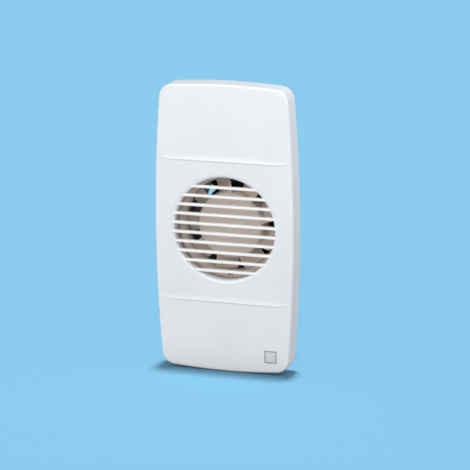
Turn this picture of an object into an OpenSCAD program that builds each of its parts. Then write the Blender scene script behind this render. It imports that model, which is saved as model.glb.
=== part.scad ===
// Slim wall extractor fan for an 80 mm duct, in millimetres.
// The wall is the plane y = 0, the front faces -Y, +Z is up, and the duct's axis is the Y axis.

/* [Cover] */
// Width of the cover across its middle
cover_w = 116; // [112:1:140]
// Height of the cover along its centre line
cover_h = 235; // [225:1:290]
// Distance from the wall to the flat front of the cover
cover_depth = 19; // [18:0.5:24]
// How far each long side bows out at its middle
side_bow = 5.3; // [3:0.1:7]
// How far the top and bottom edges bow out at their middle
end_bow = 3.3; // [2:0.1:5]
// Radius of the four corners
corner_r = 11; // [8:0.5:14]
// Thickness of the cover's walls
cover_wall = 2; // [1.6:0.1:2.4]
// Radius of the rounded front edge
edge_r = 1.7; // [1:0.1:2]
// Gap between the cover's rim and the wall
rim_gap = 0.6; // [0.4:0.1:1.2]
// Height of the two ridges above the front
ridge_rise = 0.9; // [0.5:0.1:1.5]
// Distance over which a ridge swells out above its lip
ridge_run = 5; // [3:0.5:8]
// Length of each ridge
ridge_len = 106; // [90:1:108]
// Height of the upper ridge's lip above the duct's axis
upper_ridge_z = 55.4; // [52:0.1:65]
// Depth of the lower ridge's lip below the duct's axis
lower_ridge_z = 59.8; // [52:0.1:65]
// Side of the small blank badge
badge_side = 10.6; // [8:0.1:12]
// Distance of the badge's centre from the centre line
badge_x = 38.5; // [28:0.1:40]
// Depth of the badge's centre below the duct's axis
badge_z = 102.6; // [90:0.1:104]

/* [Grille] */
// Gap in radius between the back of the funnel and the bell mouth
mouth_gap = 0.4; // [0:0.1:1]
// Number of slats
slat_count = 10; // [6:1:12]
// Distance between one slat and the next
slat_pitch = 7.62; // [6:0.01:8]
// How far the row of slats sits below the mouth's middle
slat_drop = 0.5; // [-1:0.1:1]
// Thickness of a slat
slat_t = 2; // [1.2:0.1:2.4]
// Depth of a slat behind the front
slat_depth = 4.5; // [3:0.1:6]
// Depth of the funnel behind the mouth
funnel_depth = 8; // [7:0.1:9]
// How much narrower the funnel's radius is at its back
funnel_taper = 2.2; // [1:0.1:3]
// Thickness of the funnel's wall
funnel_wall = 1.6; // [1.2:0.1:2]
// Depth of the chamfer round the mouth
mouth_chamfer = 1.6; // [0.8:0.1:2]

/* [Duct] */
// Radius of the fan tube's bore
duct_r = 38.4; // [32:0.1:38.6]
// Wall of the spigot that the pipe is pushed over
spigot_wall = 1.1; // [1:0.1:1.4]
// Length of the spigot that the pipe covers
spigot_len = 16; // [14:1:30]
// Extra radius of the tube in front of the spigot's shoulder
shoulder = 0.4; // [0.3:0.1:0.6]
// How much the bell mouth opens out
bell_flare = 3; // [2:0.1:3.5]
// Width of the flange outside the bell mouth
flange_w = 6; // [5.6:0.1:7]

/* [Base] */
// Thickness of the back plate
plate_t = 2; // [1.6:0.1:2.4]
// Height of the back plate's rim in front of the wall
plate_rim_h = 8; // [6:0.5:10]
// Thickness of the back plate's rim
plate_rim_t = 1.6; // [1.2:0.1:2]
// Clearance between the back plate's rim and the cover
cover_fit = 0.4; // [0.3:0.05:0.6]
// Distance between the left and right wall screws
wall_screw_dx = 80; // [74:1:84]
// Distance between the upper and lower wall screws
wall_screw_dz = 196; // [190:1:200]
// Radius of the wall screw holes
wall_screw_r = 2.25; // [2:0.05:2.5]

/* [Terminals] */
// Width of the terminal box
box_w = 62; // [60:1:64]
// Height of the terminal box
box_h = 46; // [44:1:48]
// Radius of the cable's hole in the grommet
cable_r = 3.4; // [3:0.1:4]
// Distance between the two terminals
pole_pitch = 11; // [10:0.5:12]

/* [Impeller] */
// Number of blades
blade_count = 9; // [5:1:11]
// Thickness of the hub's skirt
hub_wall = 1.8; // [1.2:0.1:2]
// Clearance between the hub's skirt and the motor can
hub_gap = 2.4; // [1:0.1:2.6]
// Distance from the front of the cover back to the hub's face
hub_setback = 15.8; // [15:0.1:17]
// Length of the hub
hub_len = 16; // [14:0.5:17]
// Clearance between the blades' tips and the tube
tip_gap = 0.5; // [0.4:0.1:1]
// Width of a blade along its chord
blade_chord = 19; // [14:0.5:19]
// Angle of the first blade from the horizontal
first_blade = 22; // [0:1:40]
// Angle between a blade and the plane it turns in
blade_pitch = 38; // [30:1:40]
// Thickness of a blade
blade_t = 1.4; // [1:0.1:1.8]

/* [Motor] */
// Outer radius of the motor can
can_r = 23.5; // [22.5:0.1:28.5]
// Wall of the motor can and of its shroud
can_wall = 1.3; // [1:0.1:1.6]
// Width of the open ring between the motor can and its shroud
shroud_gap = 5.4; // [4:0.1:6]
// Number of arms that hold the motor can in the tube
arm_count = 5; // [3:2:7]
// Radius of the shaft
shaft_r = 2; // [1.5:0.1:2.4]
// Radius of the rotor
rotor_r = 10.5; // [9.5:0.1:10.6]
// Air gap between rotor and stator
air_gap = 0.4; // [0.35:0.05:0.5]
// Length of the rotor's and the stator's steel
stack_len = 12; // [10:0.5:14.5]

/* [Hidden] */
$fn = 64;

white = [0.93, 0.94, 0.95];
ivory = [0.76, 0.71, 0.67];
charcoal = [0.22, 0.24, 0.25];
steel = [0.62, 0.63, 0.65];
copper = [0.72, 0.43, 0.26];
brass = [0.78, 0.62, 0.32];

over = 1;            // how far a cutter runs past what it cuts
seat = 0.02;         // gap between two curved faces of one fixed joint
loose = 0.05;        // clearance round a screw's shank and between mouldings
run_fit = 0.03;      // radial clearance of a turning shaft

// Cover outline: two pairs of bowed edges and four corner arcs that meet them smoothly
side_r = (pow(cover_h / 2, 2) + pow(side_bow, 2)) / (2 * side_bow);
end_r = (pow(cover_w / 2, 2) + pow(end_bow, 2)) / (2 * end_bow);
side_c = cover_w / 2 - side_r;
end_c = cover_h / 2 - end_r;
// The corner's centre lies on two circles, one about each bowed edge's centre
span = norm([side_c, end_c]);
to_side = side_r - corner_r;
to_end = end_r - corner_r;
along = (pow(to_side, 2) - pow(to_end, 2) + pow(span, 2)) / (2 * span);
across = sqrt(pow(to_side, 2) - pow(along, 2));
line_dir = [-side_c, end_c] / span;
corner_a = [side_c, 0] + along * line_dir + across * [line_dir.y, -line_dir.x];
corner_b = [side_c, 0] + along * line_dir - across * [line_dir.y, -line_dir.x];
corner_c = corner_a.x > corner_b.x ? corner_a : corner_b;
side_end = atan2(corner_c.y, corner_c.x - side_c);
end_start = atan2(corner_c.y - end_c, corner_c.x);

function arc(c, r, from, to, steps) =
    [for (i = [0:steps]) let (a = from + (to - from) * i / steps) c + r * [cos(a), sin(a)]];
function rest_of(points) = [for (i = [1:len(points) - 1]) points[i]];
function quarter(inset) = concat(
    arc([side_c, 0], side_r - inset, 0, side_end, 6),
    rest_of(arc(corner_c, corner_r - inset, side_end, end_start, 6)),
    rest_of(arc([0, end_c], end_r - inset, end_start, 90, 4)));
function whole(q) = concat(
    q,
    [for (i = [len(q) - 2:-1:0]) [-q[i].x, q[i].y]],
    [for (i = [1:len(q) - 1]) [-q[i].x, -q[i].y]],
    [for (i = [len(q) - 2:-1:1]) [q[i].x, -q[i].y]]);

front_y = -cover_depth;
plate_inset = cover_wall + cover_fit;
tube_out_r = duct_r + spigot_wall;
shoulder_r = tube_out_r + shoulder;
bell_r = duct_r + bell_flare;
mouth_r = bell_r + mouth_gap + funnel_taper;
flange_r = bell_r + flange_w;
flange_t = 3.2;
flange_front = -plate_t - flange_t;
flange_screw_r = bell_r + flange_w / 2 + 0.4;
tube_hole_r = shoulder_r + 0.3;
lead_r = 0.9;
lead_gap = 0.4;
lead_x = lead_r + lead_gap;
channel_half = 2 * lead_r + lead_gap + 0.3;
channel_wall = 1;
channel_low = shoulder_r + 2 * lead_r + 0.8;
lead_z = -(shoulder_r + lead_r + 0.4);
groove_t = 2 * lead_r + 0.4;

hub_y = front_y + hub_setback;
hub_face_t = 1.8;
hub_inner_r = can_r + hub_gap;
hub_r = hub_inner_r + hub_wall;
hub_back = hub_y + hub_len;
tip_r = duct_r - tip_gap;
blade_mid_y = hub_y + 7.4;
boss_r = shaft_r + 3;
boss_back = hub_y + 7.8;
shaft_front = hub_y + hub_face_t + 0.2;

can_front = hub_y + 8.7;
can_face_t = 1.3;
can_inner_r = can_r - can_wall;
bracket_t = 1.2;
bush_r = shaft_r + 2.5;
felt_r = bush_r + 1.8;
cup_r = felt_r + 1.1;
washer_r = shaft_r + 1.6;
bush_len = 4.8;
front_web = can_front + can_face_t + 0.1;
stack_front = front_web + 6.1;
stack_back = stack_front + stack_len;
rear_web = stack_back + 6.8;
can_back = rear_web + 3.8;
end_ring_t = 1.2;
stator_r = can_inner_r - 0.2;
stator_bore_r = rotor_r + air_gap;
yoke_in_r = stator_r - 3.2;
shoe_out_r = stator_bore_r + 1.7;
pole_w = 7;
pole_count = 4;
coil_in_r = shoe_out_r + 0.3;
coil_out_r = yoke_in_r - 1.5;
coil_wrap = 3;
bobbin_t = 0.5;
ring_from = 20;
ring_to = 42;
ring_bar = 4;
ring_web = 0.6;
pillar_r = stator_r - 1.6;
pillar_screw_r = 1;
arm_w = 6;
lead_y = stack_back + 4.4;
arm_back = lead_y - lead_r - 0.3;
arm_front = arm_back - 7;
shroud_r = can_r + shroud_gap + can_wall;
shroud_front = hub_back + 1.4;
shroud_back = lead_y + 1.2;
channel_end = lead_y + lead_r + 0.6;
shoulder_y = channel_end + channel_wall + 2;
tube_reach = shoulder_y + spigot_len;

box_wall = 1.5;
box_top = -(flange_r + 6);
box_low = box_top - box_h;
box_floor = -plate_t - box_wall;
box_front = -cover_depth + 5.5;
grommet_x = 18;
grommet_z = box_low + 10.5;
grommet_r = 6.4;
block_x = -14;
block_z = box_top - 15.5;
block_w = pole_pitch + 11;
block_h = 16;
block_front = box_floor - 9.5;
clamp_side = 5.5;
clamp_screw_dz = 3.6;
bore_y = box_floor - 4.7;
clamp_x = 18;
clamp_z = box_top - 19.5;
clamp_dx = 15;
clamp_post = 4.5;
lid_screw_x = -12;
lid_screw_z = box_low + 10;

// Extrudes a drawing of the front view between two depths
module slab(y_front, y_back)
    translate([0, y_back, 0]) rotate([90, 0, 0]) linear_extrude(y_back - y_front) children();

// Turns a profile of radius against height in front of the wall round the duct's axis
module turned() rotate([90, 0, 0]) rotate_extrude() children();

module disc(r, y_front, y_back) slab(y_front, y_back) circle(r);

module tube(r_out, r_in, y_front, y_back) difference() {
    disc(r_out, y_front, y_back);
    disc(r_in, y_front - over, y_back + over);
}

module at(x, z) translate([x, 0, z]) children();

// Turns children anticlockwise as seen from the front
module spun(angle) rotate([0, -angle, 0]) children();

module block(x_from, x_to, y_front, y_back, z_low, z_top)
    translate([x_from, y_front, z_low]) cube([x_to - x_from, y_back - y_front, z_top - z_low]);

module outline(inset) polygon(whole(quarter(inset)));

module sector(r_in, r_out, from, to, y_front, y_back)
    translate([0, y_back, 0]) rotate([90, 0, 0]) rotate([0, 0, from])
        rotate_extrude(angle = to - from) translate([r_in, 0]) square([r_out - r_in, y_back - y_front]);

// A screw that points to the wall, with a crossed slot in its head
module screw(head_front, head_h, head_r, shank_r, tip) {
    slot_w = head_r / 3;
    difference() {
        disc(head_r, head_front, head_front + head_h);
        block(-head_r * 0.7, head_r * 0.7, head_front - over, head_front + head_h / 2, -slot_w / 2, slot_w / 2);
        block(-slot_w / 2, slot_w / 2, head_front - over, head_front + head_h / 2, -head_r * 0.7, head_r * 0.7);
    }
    disc(shank_r, head_front + head_h - 0.1, tip);
}

// A round wire through a list of points, with every corner rounded
function unit(v) = v / norm(v);
function bend(p, before, after, radius, steps) = let (
        from = p + radius * unit(before - p),
        to = p + radius * unit(after - p))
    [for (i = [0:steps]) let (t = i / steps) pow(1 - t, 2) * from + 2 * t * (1 - t) * p + t * t * to];
function rounded(points, radius) = [
    points[0],
    for (i = [1:len(points) - 2]) each bend(points[i], points[i - 1], points[i + 1], radius, 4),
    points[len(points) - 1]];
function heading(path, i) = unit(path[min(i + 1, len(path) - 1)] - path[max(i - 1, 0)]);

module wire(points, r) {
    sides = 8;
    path = rounded(points, 1.2);
    count = len(path);
    rings = [for (i = [0:count - 1])
        let (t = heading(path, i), u = unit(cross(t, [1, 0, 0])), v = cross(t, u))
        for (k = [0:sides - 1]) path[i] + r * (cos(360 * k / sides) * u + sin(360 * k / sides) * v)];
    walls = [for (i = [0:count - 2]) for (k = [0:sides - 1]) let (next = (k + 1) % sides)
        [i * sides + k, (i + 1) * sides + k, (i + 1) * sides + next, i * sides + next]];
    near_end = [for (k = [0:sides - 1]) k];
    far_end = [for (k = [sides - 1:-1:0]) (count - 1) * sides + k];
    polyhedron(points = rings, faces = concat(walls, [near_end, far_end]));
}

module ridge(lip_z) {
    points = [
        [-front_y - 0.3, lip_z + ridge_run],
        [-front_y, lip_z + ridge_run],
        [-front_y + ridge_rise, lip_z + 0.3],
        [-front_y + ridge_rise, lip_z],
        [-front_y, lip_z - 0.3],
        [-front_y - 0.3, lip_z - 0.3]];
    translate([-ridge_len / 2, 0, 0]) rotate([90, 0, 90]) mirror([1, 0, 0])
        linear_extrude(ridge_len) polygon(points);
}

// The cover's locating ribs stand beside the back plate's clips
clip_w = 14;
clip_x = 30;
clip_t = 1.4;
clip_h = 13;

module guide_ribs() {
    rib_t = 1.2;
    for (sx = [-1, 1]) for (side = [-1, 1]) {
        x = sx * clip_x + side * (clip_w / 2 + 0.5 + rib_t / 2);
        block(x - rib_t / 2, x + rib_t / 2, front_y + cover_wall - 0.2, front_y + 9, cover_h / 2 - 9, cover_h / 2);
        block(x - rib_t / 2, x + rib_t / 2, front_y + cover_wall - 0.2, front_y + 9, -cover_h / 2, -cover_h / 2 + 9);
    }
}

module front_cover() color(white) {
    layers = 3;
    difference() {
        union() {
            slab(front_y + edge_r, -rim_gap) outline(0);
            for (i = [1:layers])
                slab(front_y + edge_r * (1 - sin(90 * i / layers)), front_y + edge_r + 0.1)
                    outline(edge_r * (1 - cos(90 * (i - 0.5) / layers)));
            ridge(upper_ridge_z);
            ridge(-lower_ridge_z);
        }
        slab(front_y + cover_wall, over) outline(cover_wall);
        disc(mouth_r + funnel_wall + loose, front_y - over, over);
        at(badge_x, -badge_z) slab(front_y - over, front_y + 0.7) square(badge_side + 2 * loose, center = true);
    }
    intersection() {
        guide_ribs();
        slab(front_y + edge_r, -rim_gap) outline(cover_wall - 0.3);
    }
}

funnel_back_y = front_y + funnel_depth;
funnel_back_r = mouth_r - funnel_taper;
throat_r = funnel_back_r + 0.3;
throat_y = front_y + mouth_chamfer;

module grille_funnel() color(white) turned() polygon([
    [mouth_r, -front_y],
    [mouth_r + funnel_wall, -front_y],
    [mouth_r + funnel_wall, -front_y - cover_wall],
    [funnel_back_r + funnel_wall, -funnel_back_y],
    [funnel_back_r, -funnel_back_y],
    [throat_r, -throat_y]]);

module grille_slats() color(white) intersection() {
    for (i = [0:slat_count - 1]) {
        z = (i - (slat_count - 1) / 2) * slat_pitch - slat_drop;
        block(-mouth_r - 1, mouth_r + 1, front_y, front_y + slat_depth, z - slat_t / 2, z + slat_t / 2);
    }
    turned() polygon([
        [0, -front_y],
        [mouth_r - loose, -front_y],
        [throat_r - loose, -throat_y],
        [funnel_back_r - loose, -funnel_back_y],
        [0, -funnel_back_y]]);
}

module badge_plate() color("silver") at(badge_x, -badge_z) difference() {
    slab(front_y, front_y + 0.7) square(badge_side, center = true);
    slab(front_y - over, front_y + 0.2) difference() {
        square(badge_side - 1, center = true);
        square(badge_side - 1.8, center = true);
    }
}

module wall_screw_places()
    for (sx = [-1, 1]) for (sz = [-1, 1]) at(sx * wall_screw_dx / 2, sz * wall_screw_dz / 2) children();

module flange_places()
    for (i = [0:3]) spun(45 + 90 * i) at(flange_screw_r, 0) children();

module clips() for (sx = [-1, 1]) for (sz = [-1, 1]) {
    z_out = cover_h / 2 - 8;
    z_from = sz > 0 ? z_out - clip_t : -z_out;
    block(sx * clip_x - clip_w / 2, sx * clip_x + clip_w / 2, -clip_h, -plate_t + 0.1, z_from, z_from + clip_t);
}

module back_plate() color(ivory) difference() {
    union() {
        slab(-plate_t, 0) outline(plate_inset);
        difference() {
            slab(-plate_rim_h, -plate_t + 0.1) outline(plate_inset);
            slab(-plate_rim_h - over, over) outline(plate_inset + plate_rim_t);
        }
        wall_screw_places() disc(5, -plate_t - 1.5, -plate_t + 0.1);
        clips();
    }
    disc(tube_hole_r, -20, over);
    wall_screw_places() disc(wall_screw_r, -20, over);
    flange_places() disc(1.2 + loose, -20, over);
    at(grommet_x, grommet_z) disc(grommet_r + loose, -20, over);
    at(block_x, block_z) disc(1.2 + loose, -20, over);
    block(-channel_half - channel_wall - 0.3, channel_half + channel_wall + 0.3, -20, over,
        -channel_low - channel_wall - 0.3, -duct_r);
}

module lead_channel(half, low, y_front, y_back)
    block(-half, half, y_front, y_back, -low, -duct_r - 0.4);

module fan_tube() color(ivory) difference() {
    union() {
        turned() polygon([
            [duct_r, -tube_reach],
            [tube_out_r, -tube_reach],
            [tube_out_r, -shoulder_y],
            [shoulder_r, -shoulder_y],
            [shoulder_r, plate_t],
            [flange_r, plate_t],
            [flange_r, -flange_front],
            [bell_r + 0.6, -flange_front],
            [bell_r, -flange_front - 0.5],
            [bell_r - bell_flare * 0.6, -flange_front - 1.6],
            [duct_r, -flange_front - 4]]);
        lead_channel(channel_half + channel_wall, channel_low + channel_wall, -plate_t, channel_end + channel_wall);
    }
    lead_channel(channel_half, channel_low, -plate_t - groove_t, channel_end);
    block(-channel_half, channel_half, -plate_t - groove_t, -plate_t + over, -flange_r - over, -duct_r - 0.4);
    block(-channel_half, channel_half, lead_y - lead_r - 0.6, channel_end, -shoulder_r - 0.3, -duct_r + 2);
    flange_places() disc(1.2 + loose, -20, over);
}

module tube_screws() color(steel) flange_places() screw(flange_front - 1.3, 1.3, 2.2, 1.2, -0.3);

module motor_carrier() color(charcoal) {
    difference() {
        union() {
            disc(can_r, can_front, can_back);
            turned() polygon([
                [can_r - 0.2, -shroud_front],
                [shroud_r, -shroud_front - shroud_gap],
                [shroud_r, -shroud_back],
                [shroud_r - can_wall, -shroud_back],
                [shroud_r - can_wall, -shroud_front - shroud_gap - can_wall],
                [can_r - 0.2, -shroud_front - 1.8 * can_wall]]);
            intersection() {
                for (i = [0:arm_count - 1]) spun(360 / arm_count * i - 90)
                    block(can_inner_r, duct_r + 2, arm_front, arm_back, -arm_w / 2, arm_w / 2);
                disc(duct_r - seat, can_front, tube_reach);
            }
        }
        disc(can_inner_r, can_front + can_face_t, can_back + over);
        disc(cup_r + 0.6, can_front - over, can_back);
        block(-channel_half, channel_half, lead_y - 1.6, lead_y + 1.6, -shroud_r - over, -can_r + 3);
    }
}

module pole_places() for (i = [0:pole_count - 1]) spun(90 * i) children();

module pillar_places() for (i = [0:3]) spun(45 + 90 * i) at(pillar_r, 0) children();

module stator_core() color(steel) difference() {
    union() {
        tube(stator_r, yoke_in_r, stack_front, stack_back);
        tube(shoe_out_r, stator_bore_r, stack_front, stack_back);
        pole_places()
            block(stator_bore_r + 0.8, yoke_in_r + 0.5, stack_front, stack_back, -pole_w / 2, pole_w / 2);
    }
    pole_places() spun(45) block(stator_bore_r - 1, shoe_out_r + 1, stack_front - over, stack_back + over, -0.9, 0.9);
    pole_places() sector(stator_bore_r - 1, shoe_out_r - ring_web, ring_from - 0.5, ring_from + ring_bar + 0.5,
        stack_front - over, stack_back + over);
    pole_places() sector(stator_bore_r - 1, shoe_out_r - ring_web, ring_to - ring_bar - 0.5, ring_to + 2,
        stack_front - over, stack_back + over);
    pillar_places() disc(pillar_screw_r + loose, stack_front - over, stack_back + over);
}

module shading_rings() color(copper) pole_places() difference() {
    sector(stator_bore_r + 0.1, shoe_out_r - ring_web - 0.05, ring_from, ring_to, stack_front - 1, stack_back + 1);
    sector(stator_bore_r - 1, shoe_out_r + 1, ring_from + ring_bar, ring_to - ring_bar,
        stack_front - loose, stack_back + loose);
}

module coil_shape(r_from, r_to, wrap) {
    half = pole_w / 2 + wrap;
    block(r_from, r_to, stack_front - wrap, stack_back + wrap, -half, half);
}

module coil_bobbins() color("ivory") pole_places() difference() {
    union() {
        coil_shape(coil_in_r, coil_out_r, bobbin_t + loose);
        coil_shape(coil_in_r, coil_in_r + bobbin_t, coil_wrap);
        coil_shape(coil_out_r - bobbin_t, coil_out_r, coil_wrap);
    }
    coil_shape(coil_in_r - over, coil_out_r + over, loose);
}

module coil_windings() color(copper) pole_places() difference() {
    coil_shape(coil_in_r + bobbin_t + loose, coil_out_r - bobbin_t - loose, coil_wrap - 0.4);
    coil_shape(coil_in_r - over, coil_out_r + over, bobbin_t + 2 * loose);
}

// A bracket's web faces its own end of the motor, and its cup holds the bush and its felt
module bracket(web_front, cup_front, cup_back) difference() {
    union() {
        disc(stator_r, web_front, web_front + bracket_t);
        tube(cup_r, felt_r + 0.1, cup_front, cup_back);
    }
    disc(bush_r + seat, web_front - over, web_front + bracket_t + over);
    pillar_places() disc(pillar_screw_r + loose, web_front - over, web_front + bracket_t + over);
}

module front_bracket() color(steel) bracket(front_web, front_web + bracket_t - 0.1, front_web + 4.4);

module rear_bracket() color(steel) difference() {
    bracket(rear_web, rear_web - 3.2, rear_web + 0.1);
    block(-channel_half, channel_half, rear_web - over, rear_web + bracket_t + over, -can_r, -can_inner_r + 1);
}

module bush(y_front) tube(bush_r, shaft_r + run_fit, y_front, y_front + bush_len);

front_bush_y = front_web - 0.3;
rear_bush_y = rear_web + bracket_t + 0.3 - bush_len;

module front_bush() color(brass) bush(front_bush_y);

module rear_bush() color(brass) bush(rear_bush_y);

module oil_felts() color("tan") {
    tube(felt_r, bush_r + 0.1, front_web + bracket_t + loose, front_web + bracket_t + 2.9);
    tube(felt_r, bush_r + 0.1, rear_web - 2.9, rear_web - loose);
}

module motor_screws() color(steel) pillar_places()
    mirror([0, 1, 0]) screw(-rear_web - bracket_t - 1, 1, 1.7, pillar_screw_r, -front_web - 0.2);

module motor_spacers() color(steel) pillar_places() {
    tube(1.55, pillar_screw_r + loose, front_web + bracket_t, stack_front);
    tube(1.55, pillar_screw_r + loose, stack_back, rear_web);
}

module motor_end_cap() color(charcoal) {
    disc(can_inner_r - loose, can_back - 1.2, can_back);
    difference() {
        tube(can_inner_r - loose, can_inner_r - 1.4, rear_web + bracket_t + loose, can_back - 1.1);
        pillar_places() disc(2.1, rear_web, can_back - 1.2);
    }
}

bar_count = 12;
bar_r = 0.8;
bar_ring_r = rotor_r - 1.4;

module bar_places() for (i = [0:bar_count - 1]) spun(360 / bar_count * i) at(bar_ring_r, 0) children();

module rotor_core() color(steel) difference() {
    disc(rotor_r, stack_front, stack_back);
    disc(shaft_r + seat, stack_front - over, stack_back + over);
    bar_places() disc(bar_r + seat, stack_front - over, stack_back + over);
}

module rotor_cage() color("lightgray") {
    tube(rotor_r - 0.2, shaft_r + 4, stack_front - end_ring_t, stack_front);
    tube(rotor_r - 0.2, shaft_r + 4, stack_back, stack_back + end_ring_t);
    bar_places() disc(bar_r, stack_front - 0.3, stack_back + 0.3);
}

module shaft() color("silver") disc(shaft_r, shaft_front, rear_web + bracket_t + 0.6);

module thrust_washers() color("black") {
    rear_bush_front = rear_bush_y;
    front_bush_back = front_bush_y + bush_len;
    tube(washer_r, shaft_r + seat, front_bush_y - 0.6, front_bush_y - 0.1);
    tube(washer_r, shaft_r + seat, front_bush_back + 0.1, stack_front - 0.1);
    tube(washer_r, shaft_r + seat, stack_back + 0.1, rear_bush_front - 0.1);
}

module impeller_hub() color(ivory) {
    turned() polygon([
        [0, -hub_y],
        [hub_r - 3, -hub_y],
        [hub_r - 1, -hub_y - 0.8],
        [hub_r, -hub_y - 2.4],
        [hub_r, -hub_back],
        [hub_inner_r, -hub_back],
        [hub_inner_r, -hub_y - 3],
        [hub_inner_r - 1.6, -hub_y - hub_face_t],
        [0, -hub_y - hub_face_t]]);
    tube(boss_r, shaft_r + seat, hub_y + hub_face_t - 0.1, boss_back);
}

// The blades lead with their front edges and turn clockwise as seen from the front
module impeller_blades() color(ivory) intersection() {
    for (i = [0:blade_count - 1]) spun(360 / blade_count * i + first_blade)
        translate([hub_r - 1, blade_mid_y, 0]) rotate([-blade_pitch, 0, 0])
            translate([0, -blade_t / 2, -blade_chord / 2]) cube([duct_r - hub_r + 2, blade_t, blade_chord]);
    tube(tip_r, hub_r + seat, hub_y, hub_back);
}

module boss_ring() color(steel) tube(boss_r + 0.9, boss_r + seat, boss_back - 3.2, boss_back - 0.4);

module terminal_box() color(ivory) difference() {
    union() {
        difference() {
            block(-box_w / 2, box_w / 2, box_front, -plate_t, box_low, box_top);
            block(-box_w / 2 + box_wall, box_w / 2 - box_wall, box_front - over, box_floor,
                box_low + box_wall, box_top - box_wall);
        }
        for (side = [-1, 1])
            at(clamp_x + side * clamp_dx / 2, clamp_z) disc(2.8, box_floor - clamp_post, box_floor + 0.1);
        at(lid_screw_x, lid_screw_z) disc(3, box_front, box_floor + 0.1);
    }
    at(grommet_x, grommet_z) disc(grommet_r + loose, -20, over);
    at(block_x, block_z) disc(1.2 + loose, -20, over);
    for (side = [-1, 1])
        at(clamp_x + side * clamp_dx / 2, clamp_z) disc(1.2 + loose, -20, box_floor - 0.5);
    at(lid_screw_x, lid_screw_z) disc(1.2 + loose, -20, box_floor - 0.5);
    block(-channel_half - 0.3, channel_half + 0.3, -9.4, -4.6, box_top - box_wall - over, box_top + over);
}

module terminal_lid() color(white) difference() {
    union() {
        block(-box_w / 2, box_w / 2, box_front - 1.5, box_front, box_low, box_top);
        difference() {
            block(-box_w / 2 + 1.7, box_w / 2 - 1.7, box_front - 0.1, box_front + 1.5, box_low + 1.7, box_top - 1.7);
            block(-box_w / 2 + 2.9, box_w / 2 - 2.9, box_front - over, box_front + 2, box_low + 2.9, box_top - 2.9);
        }
    }
    at(lid_screw_x, lid_screw_z) disc(1.2 + loose, -30, 0);
}

module lid_screw() color(steel) at(lid_screw_x, lid_screw_z) screw(box_front - 2.5, 1, 2.2, 1.2, box_front + 6);

module pole_places_x() for (side = [-1, 1]) at(block_x + side * pole_pitch / 2, block_z) children();

module terminal_block() color("whitesmoke") difference() {
    at(block_x, block_z) block(-block_w / 2, block_w / 2, block_front, box_floor, -block_h / 2, block_h / 2);
    pole_places_x() {
        block(-clamp_side / 2 - loose, clamp_side / 2 + loose, bore_y - clamp_side / 2 - loose,
            bore_y + clamp_side / 2 + loose, -block_h, block_h);
        for (side = [-1, 1]) at(0, side * clamp_screw_dz) disc(1.8, block_front - over, bore_y);
    }
    at(block_x, block_z) {
        disc(1.2 + loose, block_front - over, over);
        disc(2.4, block_front - over, block_front + 3);
    }
}

module terminal_clamps() color(brass) pole_places_x() difference() {
    block(-clamp_side / 2, clamp_side / 2, bore_y - clamp_side / 2, bore_y + clamp_side / 2,
        -block_h / 2 + 1, block_h / 2 - 1);
    translate([0, bore_y, -block_h]) cylinder(r = 1.7, h = 2 * block_h);
    for (side = [-1, 1]) at(0, side * clamp_screw_dz) disc(1.2 + loose, bore_y - clamp_side, bore_y);
}

module terminal_screws() color(steel) pole_places_x() for (side = [-1, 1])
    at(0, side * clamp_screw_dz) screw(bore_y - clamp_side / 2 - 1.6, 1, 1.6, 1.2, bore_y - 1.4);

module block_screw() color(steel) at(block_x, block_z) screw(block_front + 1.8, 1.2, 2.2, 1.2, -0.3);

module cord_clamp() color("whitesmoke") difference() {
    at(clamp_x, clamp_z)
        block(-clamp_dx / 2 - 3, clamp_dx / 2 + 3, box_floor - clamp_post - 2.5, box_floor - clamp_post, -3.5, 3.5);
    translate([clamp_x, box_floor - clamp_post + 2.4, clamp_z - 10]) cylinder(r = 3.8, h = 20);
    for (side = [-1, 1]) at(clamp_x + side * clamp_dx / 2, clamp_z) disc(1.2 + loose, -20, 0);
}

module clamp_screws() color(steel) for (side = [-1, 1])
    at(clamp_x + side * clamp_dx / 2, clamp_z) screw(box_floor - clamp_post - 3.6, 1.1, 2.2, 1.2, box_floor - 1);

module cable_grommet() color("dimgray") at(grommet_x, grommet_z) difference() {
    union() {
        disc(grommet_r, box_floor - 1.2, 0);
        disc(grommet_r + 2, box_floor - 1.2, box_floor);
    }
    disc(cable_r, -20, over);
}

// The lead leaves a coil, follows the lower arm, runs forward beside the tube, passes behind the
// flange in its groove and turns down into its terminal
module motor_lead(side) {
    x = side * lead_x;
    end_x = block_x + side * pole_pitch / 2;
    behind_flange = -plate_t - groove_t / 2;
    entry_y = box_floor - 3.5;
    run_z = box_top - box_wall - 2.5 - (side + 1) * 1.2;
    wire([
        [x, stack_back + coil_wrap + 0.5, -coil_in_r - 2],
        [x, lead_y, -coil_out_r - 1.5],
        [x, lead_y, lead_z],
        [x, behind_flange, lead_z],
        [x, behind_flange, -flange_r - 1],
        [x, entry_y, box_top + 1.5],
        [x, entry_y, run_z],
        [end_x, bore_y, run_z],
        [end_x, bore_y, block_z + block_h / 2 - 3]], lead_r);
}

module motor_lead_live() color("saddlebrown") motor_lead(-1);

module motor_lead_neutral() color("royalblue") motor_lead(1);

front_cover();
grille_funnel();
grille_slats();
badge_plate();
back_plate();
fan_tube();
tube_screws();
motor_carrier();
stator_core();
coil_bobbins();
coil_windings();
shading_rings();
front_bracket();
rear_bracket();
front_bush();
rear_bush();
oil_felts();
motor_screws();
motor_spacers();
motor_end_cap();
rotor_core();
rotor_cage();
shaft();
thrust_washers();
impeller_hub();
impeller_blades();
boss_ring();
terminal_box();
terminal_lid();
lid_screw();
terminal_block();
terminal_clamps();
terminal_screws();
block_screw();
cord_clamp();
clamp_screws();
cable_grommet();
motor_lead_live();
motor_lead_neutral();
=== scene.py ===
# %% [markdown]
# # A slim wall extractor fan
# This lesson dresses a small bathroom fan for its portrait. The engineering model already
# holds every piece in its right place, so the work here is to give each one the rounded
# edges, the smooth curves and the finish of the real thing. Sizes are written in
# millimetres, because that is how such a fan is drawn, and become metres at the very end.

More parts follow.
